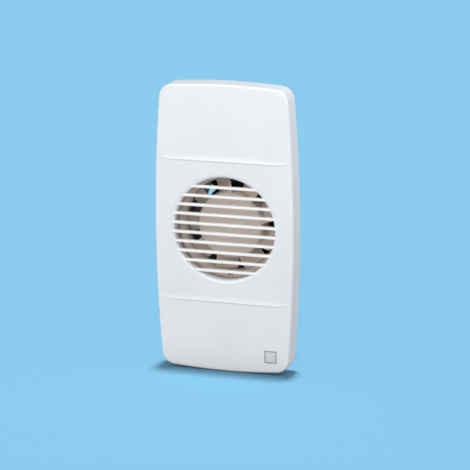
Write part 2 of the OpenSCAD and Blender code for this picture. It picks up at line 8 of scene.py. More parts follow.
# %% Load the engineering model
import math
import bmesh
import bpy
from mathutils import Matrix, Vector, geometry


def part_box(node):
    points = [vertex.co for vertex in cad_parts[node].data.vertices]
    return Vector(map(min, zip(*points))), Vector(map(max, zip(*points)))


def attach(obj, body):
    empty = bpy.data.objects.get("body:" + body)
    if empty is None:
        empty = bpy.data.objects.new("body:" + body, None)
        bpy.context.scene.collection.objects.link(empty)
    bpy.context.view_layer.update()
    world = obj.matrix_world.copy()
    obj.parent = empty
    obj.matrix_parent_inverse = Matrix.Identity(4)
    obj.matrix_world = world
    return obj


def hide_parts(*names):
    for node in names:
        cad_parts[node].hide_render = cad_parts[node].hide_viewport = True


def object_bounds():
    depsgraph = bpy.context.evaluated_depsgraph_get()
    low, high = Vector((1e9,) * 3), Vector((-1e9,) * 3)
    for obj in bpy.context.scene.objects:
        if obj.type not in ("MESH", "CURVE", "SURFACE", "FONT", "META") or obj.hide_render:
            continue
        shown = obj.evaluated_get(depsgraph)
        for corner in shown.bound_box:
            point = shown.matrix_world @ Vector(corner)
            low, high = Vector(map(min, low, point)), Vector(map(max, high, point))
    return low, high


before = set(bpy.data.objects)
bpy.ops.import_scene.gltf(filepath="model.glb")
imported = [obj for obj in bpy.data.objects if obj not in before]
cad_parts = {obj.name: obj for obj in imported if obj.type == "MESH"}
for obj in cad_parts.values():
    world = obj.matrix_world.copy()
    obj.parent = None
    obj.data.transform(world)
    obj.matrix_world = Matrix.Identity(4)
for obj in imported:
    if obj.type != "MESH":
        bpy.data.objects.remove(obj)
cad_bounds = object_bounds()
MM = 0.001
scene = bpy.context.scene
print("nodes", len(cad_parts), "box in mm", [[round(v / MM, 2) for v in corner] for corner in cad_bounds])

# %% [markdown]
# ## Reading sizes from the model
# A piece that is remade has to land exactly where the engineering model puts it. The
# boxes of the nodes give the main sizes, and the few that a box can't tell, such as how
# far the long sides bow out, are written down once here.

# %% The sizes that the remade pieces share
def box_mm(name):
    """The lowest and highest corner of a node in millimetres."""
    low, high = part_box(name)
    return Vector(low) / MM, Vector(high) / MM


cover_low, cover_high = box_mm("front_cover")
HALF_WIDTH = cover_high.x
HALF_HEIGHT = cover_high.z
RIM_Y = cover_high.y
FRONT_Y = box_mm("badge_plate")[0].y
SIDE_BOW, END_BOW, CORNER_R, EDGE_R, WALL = 5.3, 3.3, 11.0, 1.7, 2.0
funnel_high = box_mm("grille_funnel")[1]
FUNNEL_WALL = 1.6
FUNNEL_TAPER = 2.2
MOUTH_R = funnel_high.x - FUNNEL_WALL
FUNNEL_BACK_Y = funnel_high.y
print("cover half sizes", round(HALF_WIDTH, 2), round(HALF_HEIGHT, 2))
print("front at", round(FRONT_Y, 2), "mouth radius", round(MOUTH_R, 2))

# %% [markdown]
# ## One helper for every node
# Materials and Geometry Nodes are both graphs. Writing them out in full hides the idea
# under plumbing, so one small function adds a node, sets its settings and fills its
# sockets: a value is written into the socket, and a socket is linked to it. Naming a whole
# node links its first output. `calc` is short for the commonest node, Math.

# %% The node helpers and the colour helper
def feed(node, inputs):
    """Fills sockets of a node with values, other sockets or the first outputs of other nodes."""
    for key, value in inputs.items():
        source = value.outputs[0] if isinstance(value, bpy.types.Node) else value
        if isinstance(source, bpy.types.NodeSocket):
            node.id_data.links.new(source, node.inputs[key])
        else:
            node.inputs[key].default_value = source


def add(tree, kind, inputs=None, **settings):
    """Adds one node to a graph, with its settings, its values and its links."""
    made = tree.nodes.new(kind)
    for name, value in settings.items():
        setattr(made, name, value)
    feed(made, inputs or {})
    return made


def calc(tree, operation, *values):
    """Adds a Math node with its one, two or three values."""
    return add(tree, "ShaderNodeMath", dict(enumerate(values)), operation=operation)


def linear(code):
    """Turns an sRGB hex colour into the linear colour that a shader works with."""
    parts = [int(code[i:i + 2], 16) / 255 for i in (1, 3, 5)]
    return (*[p / 12.92 if p <= 0.04045 else ((p + 0.055) / 1.055) ** 2.4 for p in parts], 1.0)


print("a mid grey becomes", round(linear("#808080")[0], 3))

# %% [markdown]
# ## Starting a material
# Every finish begins the same way: a Principled shader with the plain values that a
# handbook gives for that stuff, and Object coordinates for its patterns. The pieces are
# in metres, so a pattern that repeats every `size` millimetres has a scale of
# 1000 / size. Four more helpers stand for what every finish is made of: a noise, a ramp
# between two colours, a range for the gloss, and a bump.

# %% Start a material and its parts
materials = {}
MIDDLE = {"From Min": 0.3, "From Max": 0.7}


def begin(name, **values):
    """Makes a material and returns it with its graph, shader and object coordinates."""
    material = bpy.data.materials.new(name)
    material.use_nodes = True
    tree = material.node_tree
    shader = tree.nodes["Principled BSDF"]
    feed(shader, {socket.replace("_", " "): value for socket, value in values.items()})
    materials[name] = material
    return material, tree, shader, add(tree, "ShaderNodeTexCoord").outputs["Object"]


def per_mm(size):
    """The texture scale whose features are about this many millimetres across."""
    return 1 / (size * MM)


def noise(tree, vector, size, detail, **more):
    return add(tree, "ShaderNodeTexNoise", {"Vector": vector, "Scale": per_mm(size), "Detail": detail, **more})


def ramp(tree, value, low, high, dark, light):
    """The dark colour below the low value, the light one above the high value."""
    made = add(tree, "ShaderNodeValToRGB", {"Fac": value})
    for element, place, colour in zip(made.color_ramp.elements, (low, high), (dark, light)):
        element.position, element.color = place, linear(colour)
    return made


def spread(tree, value, low, high, **part):
    """A value between low and high, from all or from the middle part of another value's range."""
    return add(tree, "ShaderNodeMapRange", {"Value": value, "To Min": low, "To Max": high, **part})


def bump(tree, height, strength, depth):
    return add(tree, "ShaderNodeBump", {"Height": height, "Strength": strength, "Distance": depth * MM})


print("a 0.5 mm grain needs a scale of", per_mm(0.5))

# %% [markdown]
# ## Moulded plastics
# ABS, polypropylene and nylon parts come out of a steel mould. The mould's spark-eroded
# skin leaves a fine grain, the colour drifts very slightly where the melt flowed, and the
# gloss varies a little with the cooling. Three noises at three scales give exactly that:
# a broad one for the colour, a middle one for the gloss and a fine one for the grain.
# The real grain is about 0.1 mm; it is drawn coarser here so that it shows at all.

# %% The moulded finishes
def moulded(name, light, dark, rough, ior, grain, depth, drift=28.0, **values):
    """A moulded plastic: two close colours that drift into each other, uneven gloss and grain."""
    material, tree, shader, coords = begin(name, IOR=ior, **values)
    tint = ramp(tree, noise(tree, coords, drift, 3.0), 0.3, 0.7, dark, light)
    mottle = add(tree, "ShaderNodeMixRGB", {"Fac": 0.05, "Color1": tint, "Color2": noise(tree, coords, 0.9, 2.0)},
                 blend_type="SOFT_LIGHT")
    feed(shader, {"Base Color": mottle,
                  "Roughness": spread(tree, noise(tree, coords, 6, 4.0), rough - 0.05, rough + 0.05, **MIDDLE),
                  "Normal": bump(tree, noise(tree, coords, grain, 5.0), 0.5, depth)})
    return material


# Cover: white ABS with an almost smooth, satin skin
white_abs = moulded("moulded white ABS", "#EDF0F4", "#E9ECF1", 0.40, 1.53, 0.5, 0.012)
# Base plate and terminal box: the same ABS from a rougher mould, a shade creamier
base_abs = moulded("moulded cream ABS", "#E6E5E0", "#DEDDD7", 0.52, 1.53, 0.7, 0.04)
# Slats: the cover's ABS, a touch warmer and drawn lighter; the extra lightness is painted light for the light their
# upper faces catch
slat_abs_painted_light = moulded("moulded ivory-white ABS", "#FAFAF9", "#F6F6F5", 0.42, 1.53, 0.5, 0.012)
# Impeller: polypropylene, warm beige and slightly waxy
beige_pp = moulded("moulded beige polypropylene", "#E7DAD1", "#DFD1C7", 0.46, 1.49, 0.6, 0.03,
                   Subsurface_Weight=0.05, Subsurface_Radius=(0.002, 0.0015, 0.001), Subsurface_Scale=1.0)
# Fan tube: the same beige, with painted shade in its bore: behind the blades the bore is drawn charcoal,
# which stands for the shade deep inside the duct. It covers wherever the distance from the axis is less than
# the first number below, which lies inside the tube's wall, and it fades in over the millimetres between the other
# two
SHADE_R, SHADE_FROM, SHADE_FULL = 38.9, 1, 13
tube_pp_painted_shade = moulded("beige polypropylene with painted shade in the bore", "#E7DAD1", "#DFD1C7", 0.46, 1.49, 0.6, 0.03)
tree = tube_pp_painted_shade.node_tree
shader = tree.nodes["Principled BSDF"]
beige = shader.inputs["Base Color"].links[0].from_socket
axes = add(tree, "ShaderNodeSeparateXYZ", {0: add(tree, "ShaderNodeTexCoord").outputs["Object"]})
level = add(tree, "ShaderNodeCombineXYZ", {"X": axes.outputs["X"], "Y": axes.outputs["Z"]})
from_axis = add(tree, "ShaderNodeVectorMath", {0: level}, operation="LENGTH")
in_bore = calc(tree, "LESS_THAN", from_axis.outputs["Value"], SHADE_R * MM)
depth_in = add(tree, "ShaderNodeMapRange", {"Value": axes.outputs["Y"], "From Min": SHADE_FROM * MM,
               "From Max": SHADE_FULL * MM}, interpolation_type="SMOOTHSTEP")
# painted shade: the bore turns charcoal with depth, for the shade deep in the duct
painted_bore_shade = calc(tree, "MULTIPLY", in_bore, depth_in)
bore = add(tree, "ShaderNodeMixRGB", {"Fac": painted_bore_shade, "Color1": beige, "Color2": linear("#34393B")})
feed(shader, {"Base Color": bore})
# Motor can and cap: charcoal polypropylene, which makes the motor vanish in the duct's shade
charcoal_pp = moulded("moulded charcoal polypropylene", "#3D4245", "#34383B", 0.5, 1.49, 0.6, 0.03)
# Coil bobbins and terminal block: nylon, milky and a little translucent
bobbin_nylon = moulded("glass-filled nylon", "#E3DCC6", "#D8CFB5", 0.5, 1.53, 0.4, 0.03)
terminal_nylon = moulded("milky terminal nylon", "#E9E9E4", "#DFE0DA", 0.38, 1.53, 0.5, 0.015,
                         Subsurface_Weight=0.08, Subsurface_Radius=(0.001, 0.001, 0.001), Subsurface_Scale=1.0)
# Lead sleeves: PVC, smooth, with a faint drag along the wire
brown_pvc = moulded("brown PVC sleeve", "#6B4027", "#5E371F", 0.36, 1.53, 0.8, 0.02, drift=9)
blue_pvc = moulded("blue PVC sleeve", "#2B6BB0", "#245F9F", 0.36, 1.53, 0.8, 0.02, drift=9)
print("moulded finishes", len(materials))

# %% [markdown]
# ## Metals
# A metal has no colour of its own beyond its reflection, so the handbook tint goes in the
# base colour, the metallic value is one, and everything else is roughness. Plated screws
# are uneven and slightly yellow, drawn brass has streaks along its length, a ground shaft
# has hair lines round it, and a motor's steel is a stack of half-millimetre sheets.

# %% Plated, drawn, cast and sintered metals
def metal(name, tint, shade, rough, uneven, cell, stretch=(1, 1, 1), pits=0.0):
    """A metal with uneven tint and roughness. stretch draws the pattern out along an axis."""
    material, tree, shader, coords = begin(name, Metallic=1.0)
    drawn = add(tree, "ShaderNodeMapping", {"Vector": coords, "Scale": stretch})
    cloud = noise(tree, drawn, cell, 6.0)
    fine = add(tree, "ShaderNodeTexVoronoi", {"Vector": drawn, "Scale": per_mm(cell / 4)})
    feed(shader, {"Base Color": ramp(tree, cloud, 0.32, 0.68, shade, tint),
                  "Roughness": spread(tree, cloud, rough + uneven, rough - uneven, **MIDDLE),
                  "Normal": bump(tree, fine, 0.3, 0.005 + pits)})
    return material


zinc = metal("zinc-plated steel", "#D3D3CC", "#B9B6A4", 0.30, 0.08, 2.0)
brass = metal("drawn brass", "#E2C27C", "#C9A45C", 0.28, 0.06, 1.5, stretch=(1, 1, 0.08))
aluminium = metal("die-cast aluminium", "#D2D5D8", "#B9BCC0", 0.42, 0.08, 1.2, pits=0.03)
bronze = metal("sintered bronze", "#B08A55", "#7A5B34", 0.45, 0.10, 0.5, pits=0.06)
ground = metal("ground shaft steel", "#D6D8DB", "#BFC1C6", 0.16, 0.05, 1.0, stretch=(0.15, 1, 0.15))
print("metals", len(materials))

# %% [markdown]
# ## Laminated steel
# The stator and rotor are stacks of punched sheets, each 0.5 mm thick, pressed together.
# From the side the joints show as fine dark lines, and the bluish scale of the annealed
# sheet shows between them. A Wave texture of bands along the duct's axis draws them: its
# bands repeat every 2 pi units at scale 20, so the scale for a pitch is worked out once.

# %% Laminations
def banded(name, light, dark, line, pitch, rough):
    """A stack of thin sheets along the duct's axis, with a dark line at each joint."""
    material, tree, shader, coords = begin(name, Metallic=1.0)
    bands = add(tree, "ShaderNodeTexWave", {"Vector": coords, "Scale": 2 * math.pi / (20 * pitch * MM),
                "Distortion": 0.25, "Detail": 1.0, "Detail Scale": 1.5}, wave_type="BANDS",
                bands_direction="Y", wave_profile="SIN").outputs["Fac"]
    cloud = noise(tree, coords, 3, 5.0)
    tint = add(tree, "ShaderNodeMixRGB", {"Fac": cloud, "Color1": linear(dark), "Color2": linear(light)})
    joint = ramp(tree, bands, 0.05, 0.3, "#000000", "#FFFFFF")
    shade = add(tree, "ShaderNodeMixRGB", {"Fac": joint, "Color1": linear(line), "Color2": tint})
    feed(shader, {"Base Color": shade, "Roughness": spread(tree, cloud, rough - 0.08, rough + 0.1),
                  "Normal": bump(tree, bands, 0.6, pitch * 0.25)})
    return material


lamination = banded("laminated silicon steel", "#A4A9B2", "#83878F", "#3A3C40", 0.5, 0.38)
shading_copper = metal("drawn copper bar", "#D98E63", "#B56B41", 0.30, 0.07, 1.2)
print("finishes so far", len(materials))

# %% [markdown]
# ## Soft and dark finishes
# The oil felts are pressed wool: a nap that scatters light, so they get sheen and a
# tangled bump. The washers are vulcanised fibre, dull with short flecks. The grommet is
# EPDM rubber, near black, with the grey bloom that rubber always has.

# %% Felt, fibre, rubber
def nappy(name, light, dark, rough, cell, depth, sheen, stretch=(1, 1, 1)):
    """A dull stuff made of fibres or fillers: strong fine mottling, a deep bump and a soft sheen."""
    material, tree, shader, coords = begin(name, Sheen_Weight=sheen, Sheen_Roughness=0.6, Specular_IOR_Level=0.35)
    drawn = add(tree, "ShaderNodeMapping", {"Vector": coords, "Scale": stretch})
    fibres = noise(tree, drawn, cell, 8.0, Roughness=0.7, Distortion=0.8)
    feed(shader, {"Base Color": ramp(tree, fibres, 0.35, 0.65, dark, light),
                  "Roughness": spread(tree, fibres, rough - 0.08, rough + 0.08),
                  "Normal": bump(tree, fibres, 0.7, depth)})
    return material


felt = nappy("oiled wool felt", "#A8927A", "#7C6850", 0.9, 0.35, 0.15, 0.3)
fibre = nappy("vulcanised fibre", "#4A4038", "#2C2621", 0.62, 0.3, 0.02, 0.0, stretch=(1, 1, 0.3))
rubber = nappy("EPDM rubber", "#3A3B3E", "#242528", 0.68, 0.5, 0.02, 0.1)
print("all finishes", sorted(materials))

# %% [markdown]
# ## Writing a mesh
# Shapes are drawn in millimetres in a bmesh. Finishing one means four things: scale it to
# metres, keep it at the origin with its place in its mesh, mark the edges that should
# look crisp, and let it ride on the body that carries it.

# %% Finish a piece
def add_piece(name, mesh, material, body, nodes, angle):
    """Makes a piece that is smooth but at edges over the angle, and hides the nodes that it stands for."""
    mesh.name = name
    mesh.materials.clear()
    mesh.materials.append(material)
    mesh.polygons.foreach_set("use_smooth", [True] * len(mesh.polygons))
    mesh.set_sharp_from_angle(angle=math.radians(angle))
    piece = bpy.data.objects.new(name, mesh)
    scene.collection.objects.link(piece)
    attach(piece, body)
    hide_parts(*nodes)
    mesh.calc_loop_triangles()
    print(name, "triangles", len(mesh.loop_triangles))


def mesh_from(bm):
    """Closes a bmesh drawn in millimetres and turns it into a mesh in metres."""
    bmesh.ops.remove_doubles(bm, verts=bm.verts, dist=1e-4)
    bmesh.ops.recalc_face_normals(bm, faces=bm.faces)
    open_edges = sum(1 for e in bm.edges if not e.is_manifold)
    bmesh.ops.scale(bm, vec=(MM,) * 3, verts=bm.verts)
    mesh = bpy.data.meshes.new("piece")
    bm.to_mesh(mesh)
    bm.free()
    if open_edges:
        print("open edges", open_edges)
    return mesh


# %% [markdown]
# ## The cover's outline
# Seen from the front, the cover is a rectangle whose four sides bow out. Each side is an
# arc, and each corner is a small arc that meets both smoothly. The corner's centre lies
# where two circles cross, which is school geometry. Insetting the outline only changes
# the radii, so every ring of points keeps the same count, and rings join into neat quads.

# %% Points of the outline
def arc(cx, cz, r, start, stop, steps):
    return [(cx + r * math.cos(start + (stop - start) * i / steps),
             cz + r * math.sin(start + (stop - start) * i / steps)) for i in range(steps + 1)]


def outline(inset):
    """A closed ring of (x, z) points, anticlockwise from the right-hand side."""
    side_r = (HALF_HEIGHT ** 2 + SIDE_BOW ** 2) / (2 * SIDE_BOW)
    end_r = (HALF_WIDTH ** 2 + END_BOW ** 2) / (2 * END_BOW)
    side_c, end_c = HALF_WIDTH - side_r, HALF_HEIGHT - end_r
    span = math.hypot(side_c, end_c)
    to_side, to_end = side_r - CORNER_R, end_r - CORNER_R
    along = (to_side ** 2 - to_end ** 2 + span ** 2) / (2 * span)
    across = math.sqrt(to_side ** 2 - along ** 2)
    line = (-side_c / span, end_c / span)
    centres = [(side_c + along * line[0] + s * across * line[1], along * line[1] - s * across * line[0])
               for s in (1, -1)]
    cx, cz = max(centres)
    turn_in, turn_out = math.atan2(cz, cx - side_c), math.atan2(cz - end_c, cx)
    quarter = (arc(side_c, 0, side_r - inset, 0, turn_in, 16)[:-1]
               + arc(cx, cz, CORNER_R - inset, turn_in, turn_out, 12)[:-1]
               + arc(0, end_c, end_r - inset, turn_out, math.pi / 2, 12))
    left = [(-x, z) for x, z in reversed(quarter[:-1])]
    top = quarter + left
    return top + [(-x, -z) for x, z in top[1:-1]]


print("outline points", len(outline(0)), "rightmost", round(max(outline(0))[0], 2))

# %% [markdown]
# ## Rings, skins and flat faces
# The cover is one skin that runs from the rim, up the side, round the front edge, across
# the front, down into the mouth and back along the inside. Rings of points joined by
# quads make all of it but the two flat faces. Those have holes, so a Delaunay
# triangulation fills them and keeps every line it is given as an edge.

# %% Join rings and fill a face that has holes
def ring(bm, points, y):
    return [bm.verts.new((x, y, z)) for x, z in points]


def circle(r, count=120):
    return [(r * math.cos(2 * math.pi * i / count), r * math.sin(2 * math.pi * i / count)) for i in range(count)]


def skin(bm, rings):
    """Quads between each ring and the next."""
    for a, b in zip(rings, rings[1:]):
        for i in range(len(a)):
            j = (i + 1) % len(a)
            bm.faces.new((a[i], a[j], b[j], b[i]))


def inside(point, loop):
    """Whether a point of the front view lies inside a closed loop."""
    x, z = point
    hit = False
    for (ax, az), (bx, bz) in zip(loop, loop[1:] + loop[:1]):
        if (az > z) != (bz > z) and x < ax + (z - az) * (bx - ax) / (bz - az):
            hit = not hit
    return hit


def fill(bm, outer, holes, depth, rows=()):
    """A face inside the outer ring and outside the holes, at depth(x, z), that keeps the rows as edges."""
    verts = []
    points = []
    edges = []
    for loop in (outer, *holes):
        start = len(points)
        for k, vert in enumerate(loop):
            verts.append(vert)
            points.append(Vector((vert.co.x, vert.co.z)))
            edges.append((start + k, start + (k + 1) % len(loop)))
    for row in rows:
        start = len(points)
        for k, (x, z) in enumerate(row):
            verts.append(None)
            points.append(Vector((x, z)))
            if k:
                edges.append((start + k - 1, start + k))
    found, _, faces, sources, _, _ = geometry.delaunay_2d_cdt(points, edges, [], 0, 1e-5)
    made = []
    for at, source in zip(found, sources):
        known = [verts[s] for s in source if verts[s]]
        made.append(known[0] if known else bm.verts.new((at.x, depth(at.x, at.y), at.y)))
    edge_of = [(v.co.x, v.co.z) for v in outer]
    hole_of = [[(v.co.x, v.co.z) for v in hole] for hole in holes]
    for face in faces:
        middle = sum((found[i] for i in face), Vector((0, 0))) / len(face)
        if inside(middle, edge_of) and not any(inside(middle, hole) for hole in hole_of):
            bm.faces.new([made[i] for i in face])


# %% [markdown]
# ## The two ridges
# Above and below the grille the front swells over five millimetres and drops off a small
# lip, like the edge of a fish scale. The swelling fades towards both ends and the lip
# curls up a little there. The triangulated face follows it with rows of points: the rows
# lie close together at the lip, where the shape turns fast, and spread out above it.

# %% Shape of a ridge
RIDGE_HALF, RIDGE_RUN = 53.0, 5.0
RIDGE_RISE = FRONT_Y - cover_low.y
RIDGE_LIPS = (55.4, -59.8)
LIP_DROP, LIP_EDGE, LIP_FOOT = 1.0, 0.12, 0.9
ROW_STEPS = (-1.7, -1.2, -1.0, -0.6, -0.12, 0.0, 0.12, 0.35, 0.7, 1.2, 1.8, 2.5, 3.3, 4.2, 5.0, 5.6)


def ridge_height(x, z):
    """How far the front stands out at this place."""
    for lip in RIDGE_LIPS:
        reach = 1 - (x / RIDGE_HALF) ** 2
        if reach <= 0:
            return 0.0
        above = z - lip_line(lip, x)
        run = RIDGE_RUN * (0.5 + 0.5 * reach)
        if -LIP_DROP < above < run:
            shape = (1 - above / run) ** 1.7 if above > LIP_EDGE else 0.93 + 0.07 * (above + 0.05)
            if above < 0:
                shape = min(0.93, max(0.0, (above + LIP_DROP) / (LIP_DROP - LIP_EDGE) * LIP_FOOT))
            return RIDGE_RISE * reach ** 0.35 * shape
    return 0.0


def lip_line(lip, x):
    """Height of the lip's edge: straight, with both ends curled up."""
    return lip + 1.0 * max(0.0, (abs(x) - 41) / 12) ** 2


ridge_rows = []
for lip in RIDGE_LIPS:
    for step in ROW_STEPS:
        columns = [RIDGE_HALF * math.sin(math.pi / 2 * i / 34) for i in range(-34, 35)]
        ridge_rows.append([(x, lip_line(lip, x) + step) for x in columns])
print("ridge rows", len(ridge_rows), "highest", round(max(ridge_height(0, z / 50) for z in range(2700, 3000)), 2))

# %% [markdown]
# ## The cover
# One closed skin. The front edge is a quarter round, and a ring just inside each curve
# pins the shading down, so that the flats look flat. The mouth turns in with a small
# radius and runs back as a slightly narrowing funnel.

# %% Round the corners of a profile
def soften(points, radius, steps=4):
    """Rounds the corners of a closed profile. A third value at a point is that corner's own radius."""
    result = []
    for i, point in enumerate(points):
        here = Vector(point[:2])
        before, after = Vector(points[i - 1][:2]), Vector(points[(i + 1) % len(points)][:2])
        size = point[2] if len(point) > 2 else radius
        size = min(size, 0.45 * (before - here).length, 0.45 * (after - here).length)
        if size <= 0 or here.x <= 0:
            result.append((here.x, here.y))
            continue
        a, b = here + size * (before - here).normalized(), here + size * (after - here).normalized()
        for k in range(steps + 1):
            t = k / steps
            p = (1 - t) ** 2 * a + 2 * t * (1 - t) * here + t * t * b
            result.append((p.x, p.y))
    return result


print("a right angle becomes", len(soften([(1, 0), (2, 0), (2, 1), (1, 1)], 0.2)) // 4, "points a corner")

# %% Build the cover's skin
MOUTH_CHAMFER = 1.6
THROAT_R = MOUTH_R - FUNNEL_TAPER + 0.3
badge_low, badge_high = box_mm("badge_plate")
BADGE_SIDE = badge_high.x - badge_low.x
badge_mid = (badge_low + badge_high) / 2
BADGE_DEPTH = badge_high.y - badge_low.y


def badge_ring(half, corner):
    """A small square with rounded corners at the badge's place."""
    ring_points = []
    for k, (sx, sz) in enumerate(((1, 1), (-1, 1), (-1, -1), (1, -1))):
        ring_points += arc(badge_mid.x + sx * (half - corner), badge_mid.z + sz * (half - corner), corner,
                           math.pi / 2 * k, math.pi / 2 * (k + 1), 4)
    return ring_points


bm = bmesh.new()
edge_y = FRONT_Y + EDGE_R
wall_rings = [ring(bm, outline(inset), y) for inset, y in (
    (1.7, RIM_Y), (0.25, RIM_Y), (0.06, RIM_Y - 0.08), (0, RIM_Y - 0.3), (0, RIM_Y - 1.0), (0, edge_y + 0.5))]
for step in range(8):
    bend = math.pi / 2 * step / 7
    wall_rings.append(ring(bm, outline(EDGE_R * (1 - math.cos(bend))), edge_y - EDGE_R * math.sin(bend)))
wall_rings.append(ring(bm, outline(EDGE_R + 0.4), FRONT_Y))
skin(bm, wall_rings)

mouth_rings = [ring(bm, circle(MOUTH_R + 0.9), FRONT_Y)]
mouth_curve = soften([(MOUTH_R + 3, FRONT_Y), (MOUTH_R - 0.2, FRONT_Y + 0.05, 0.9),
                      (THROAT_R, FRONT_Y + MOUTH_CHAMFER, 0.9), (THROAT_R - 0.2, FRONT_Y + 5)], 0.9, steps=6)
mouth_rings += [ring(bm, circle(r), y) for r, y in mouth_curve[6:-6]]
THROAT_LENGTH = FUNNEL_BACK_Y - FRONT_Y - MOUTH_CHAMFER
for y in (FRONT_Y + 3.2, FRONT_Y + 5.5, FUNNEL_BACK_Y - 0.4):
    mouth_rings.append(ring(bm, circle(THROAT_R - 0.3 * (y - FRONT_Y - MOUTH_CHAMFER) / THROAT_LENGTH), y))
BACK_R = MOUTH_R - FUNNEL_TAPER
inner_y = FRONT_Y + WALL
mouth_rings += [ring(bm, circle(r), y) for r, y in (
    (BACK_R + 0.12, FUNNEL_BACK_Y - 0.1), (BACK_R + 0.4, FUNNEL_BACK_Y),
    (BACK_R + FUNNEL_WALL - 0.4, FUNNEL_BACK_Y), (BACK_R + FUNNEL_WALL, FUNNEL_BACK_Y - 0.4),
    (MOUTH_R + FUNNEL_WALL - 0.1, inner_y + 0.6), (MOUTH_R + FUNNEL_WALL + 0.2, inner_y + 0.15),
    (MOUTH_R + FUNNEL_WALL + 0.6, inner_y))]
skin(bm, mouth_rings)

badge_rings = [ring(bm, badge_ring(BADGE_SIDE / 2 + wider, corner), FRONT_Y + deep) for wider, corner, deep in (
    (0.35, 0.75, 0), (0.2, 0.6, 0), (0.06, 0.46, 0.14), (0.06, 0.46, BADGE_DEPTH + 0.02))]
skin(bm, badge_rings)
bm.faces.new(badge_rings[-1])
fill(bm, wall_rings[-1], [mouth_rings[0], badge_rings[0]], lambda x, z: FRONT_Y - ridge_height(x, z), ridge_rows)

inner_rings = [wall_rings[0]] + [ring(bm, outline(inset), y) for inset, y in (
    (WALL, RIM_Y - 0.3), (WALL, inner_y + 0.6), (WALL + 0.18, inner_y + 0.18), (WALL + 0.6, inner_y))]
skin(bm, inner_rings)
fill(bm, inner_rings[-1], [mouth_rings[-1]], lambda x, z: inner_y)
cover_mesh = mesh_from(bm)
print("cover skin faces", len(cover_mesh.polygons))

# %% [markdown]
# ## Guide ribs inside the cover
# Beside each clip of the back plate stand two short ribs that line the cover up. They
# are plain bars with rounded edges, so a bevelled box each does it, joined to the cover.

# %% Add the guide ribs and place the cover
CLIP_X, CLIP_W, RIB_T, RIB_DEPTH = 30.0, 14.0, 1.2, 9


def bar(low, high, rounding):
    """A box with rounded edges, as a bmesh in millimetres."""
    made = bmesh.new()
    bmesh.ops.create_cube(made, size=1)
    for vert in made.verts:
        vert.co = Vector([(high[i] + low[i]) / 2 + vert.co[i] * (high[i] - low[i]) for i in range(3)])
    bmesh.ops.bevel(made, geom=made.edges[:], offset=rounding, segments=2, profile=0.5, affect="EDGES")
    return made


def joined(meshes):
    """One mesh out of several."""
    whole = bmesh.new()
    for mesh in meshes:
        whole.from_mesh(mesh)
    result = bpy.data.meshes.new("joined")
    whole.to_mesh(result)
    whole.free()
    return result


ribs = []
for side in (-1, 1):
    for edge in (-1, 1):
        x = side * CLIP_X + edge * (CLIP_W / 2 + 0.5 + RIB_T / 2)
        reach = max(z for px, z in outline(WALL) if abs(px) >= abs(x) - 1.5)
        for end in (-1, 1):
            near, far = sorted((end * (HALF_HEIGHT - 9), end * (reach + 0.3)))
            rib = bar((x - RIB_T / 2, inner_y - 0.2, near), (x + RIB_T / 2, FRONT_Y + RIB_DEPTH, far), 0.25)
            ribs.append(mesh_from(rib))
add_piece("cover_shell", joined([cover_mesh] + ribs), white_abs, "cover",
          ["front_cover", "grille_funnel"], angle=40)

# %% [markdown]
# ## Slats with Geometry Nodes
# Ten bars cross the mouth. They share one rounded section and one pitch, and each ends in
# the funnel's wall, so a rule makes them all: a row of points, a bar on every point, and
# then every end is moved out to the cone. The tree has a named input for each size, and
# `grow` finds each socket's identifier from its name.

# %% Helpers for Geometry Nodes trees
def new_tree(name, inputs):
    """An empty tree with a geometry input, a geometry output and these named inputs."""
    tree = bpy.data.node_groups.new(name, "GeometryNodeTree")
    tree.interface.new_socket("Geometry", in_out="INPUT", socket_type="NodeSocketGeometry")
    tree.interface.new_socket("Geometry", in_out="OUTPUT", socket_type="NodeSocketGeometry")
    for label, kind in inputs:
        tree.interface.new_socket(label, in_out="INPUT", socket_type="NodeSocket" + kind)
    return tree, add(tree, "NodeGroupInput").outputs, add(tree, "NodeGroupOutput")


def grow(name, tree, values, start=None):
    """Runs a tree on an object and returns the plain mesh that it makes."""
    carrier = bpy.data.objects.new(name, start or bpy.data.meshes.new(name))
    scene.collection.objects.link(carrier)
    modifier = carrier.modifiers.new(name, "NODES")
    modifier.node_group = tree
    for item in tree.interface.items_tree:
        if item.item_type == "SOCKET" and item.in_out == "INPUT" and item.name in values:
            modifier[item.identifier] = values[item.name]
    result = bpy.data.meshes.new_from_object(carrier.evaluated_get(bpy.context.evaluated_depsgraph_get()))
    bpy.data.objects.remove(carrier)
    print(name, "grown, faces", len(result.polygons))
    return result


def rounded(tree, width, height, radius):
    """A rectangle with rounded corners, as a curve."""
    sharp = add(tree, "GeometryNodeCurvePrimitiveQuadrilateral", {"Width": width, "Height": height})
    return add(tree, "GeometryNodeFilletCurve", {"Curve": sharp, "Count": 5, "Radius": radius}, mode="POLY")


def in_row(tree, thing, count, start, step, turn=(0, 0, 0)):
    """Copies of a thing that follow each other, with sockets for the parts of start and step."""
    points = add(tree, "GeometryNodeMeshLine", {
        "Count": count, "Start Location": add(tree, "ShaderNodeCombineXYZ", start),
        "Offset": add(tree, "ShaderNodeCombineXYZ", step)}, mode="OFFSET")
    return add(tree, "GeometryNodeInstanceOnPoints", {"Points": points, "Instance": thing, "Rotation": turn})


def round_axis(tree, thing, count, step, first=0.0):
    """Copies of a thing round the duct's axis, each one step of angle further than the last."""
    angle = calc(tree, "SUBTRACT", calc(tree, "MULTIPLY", add(tree, "GeometryNodeInputIndex"), step), first)
    return add(tree, "GeometryNodeInstanceOnPoints", {
        "Points": add(tree, "GeometryNodePoints", {"Count": count}), "Instance": thing,
        "Rotation": add(tree, "ShaderNodeCombineXYZ", {"Y": angle})})


def close(tree, out, geometry, material):
    """Ends a tree: the finish is set and the result goes out."""
    feed(out, {0: add(tree, "GeometryNodeSetMaterial", {"Geometry": geometry, "Material": material})})
    print(tree.name, "nodes", len(tree.nodes))


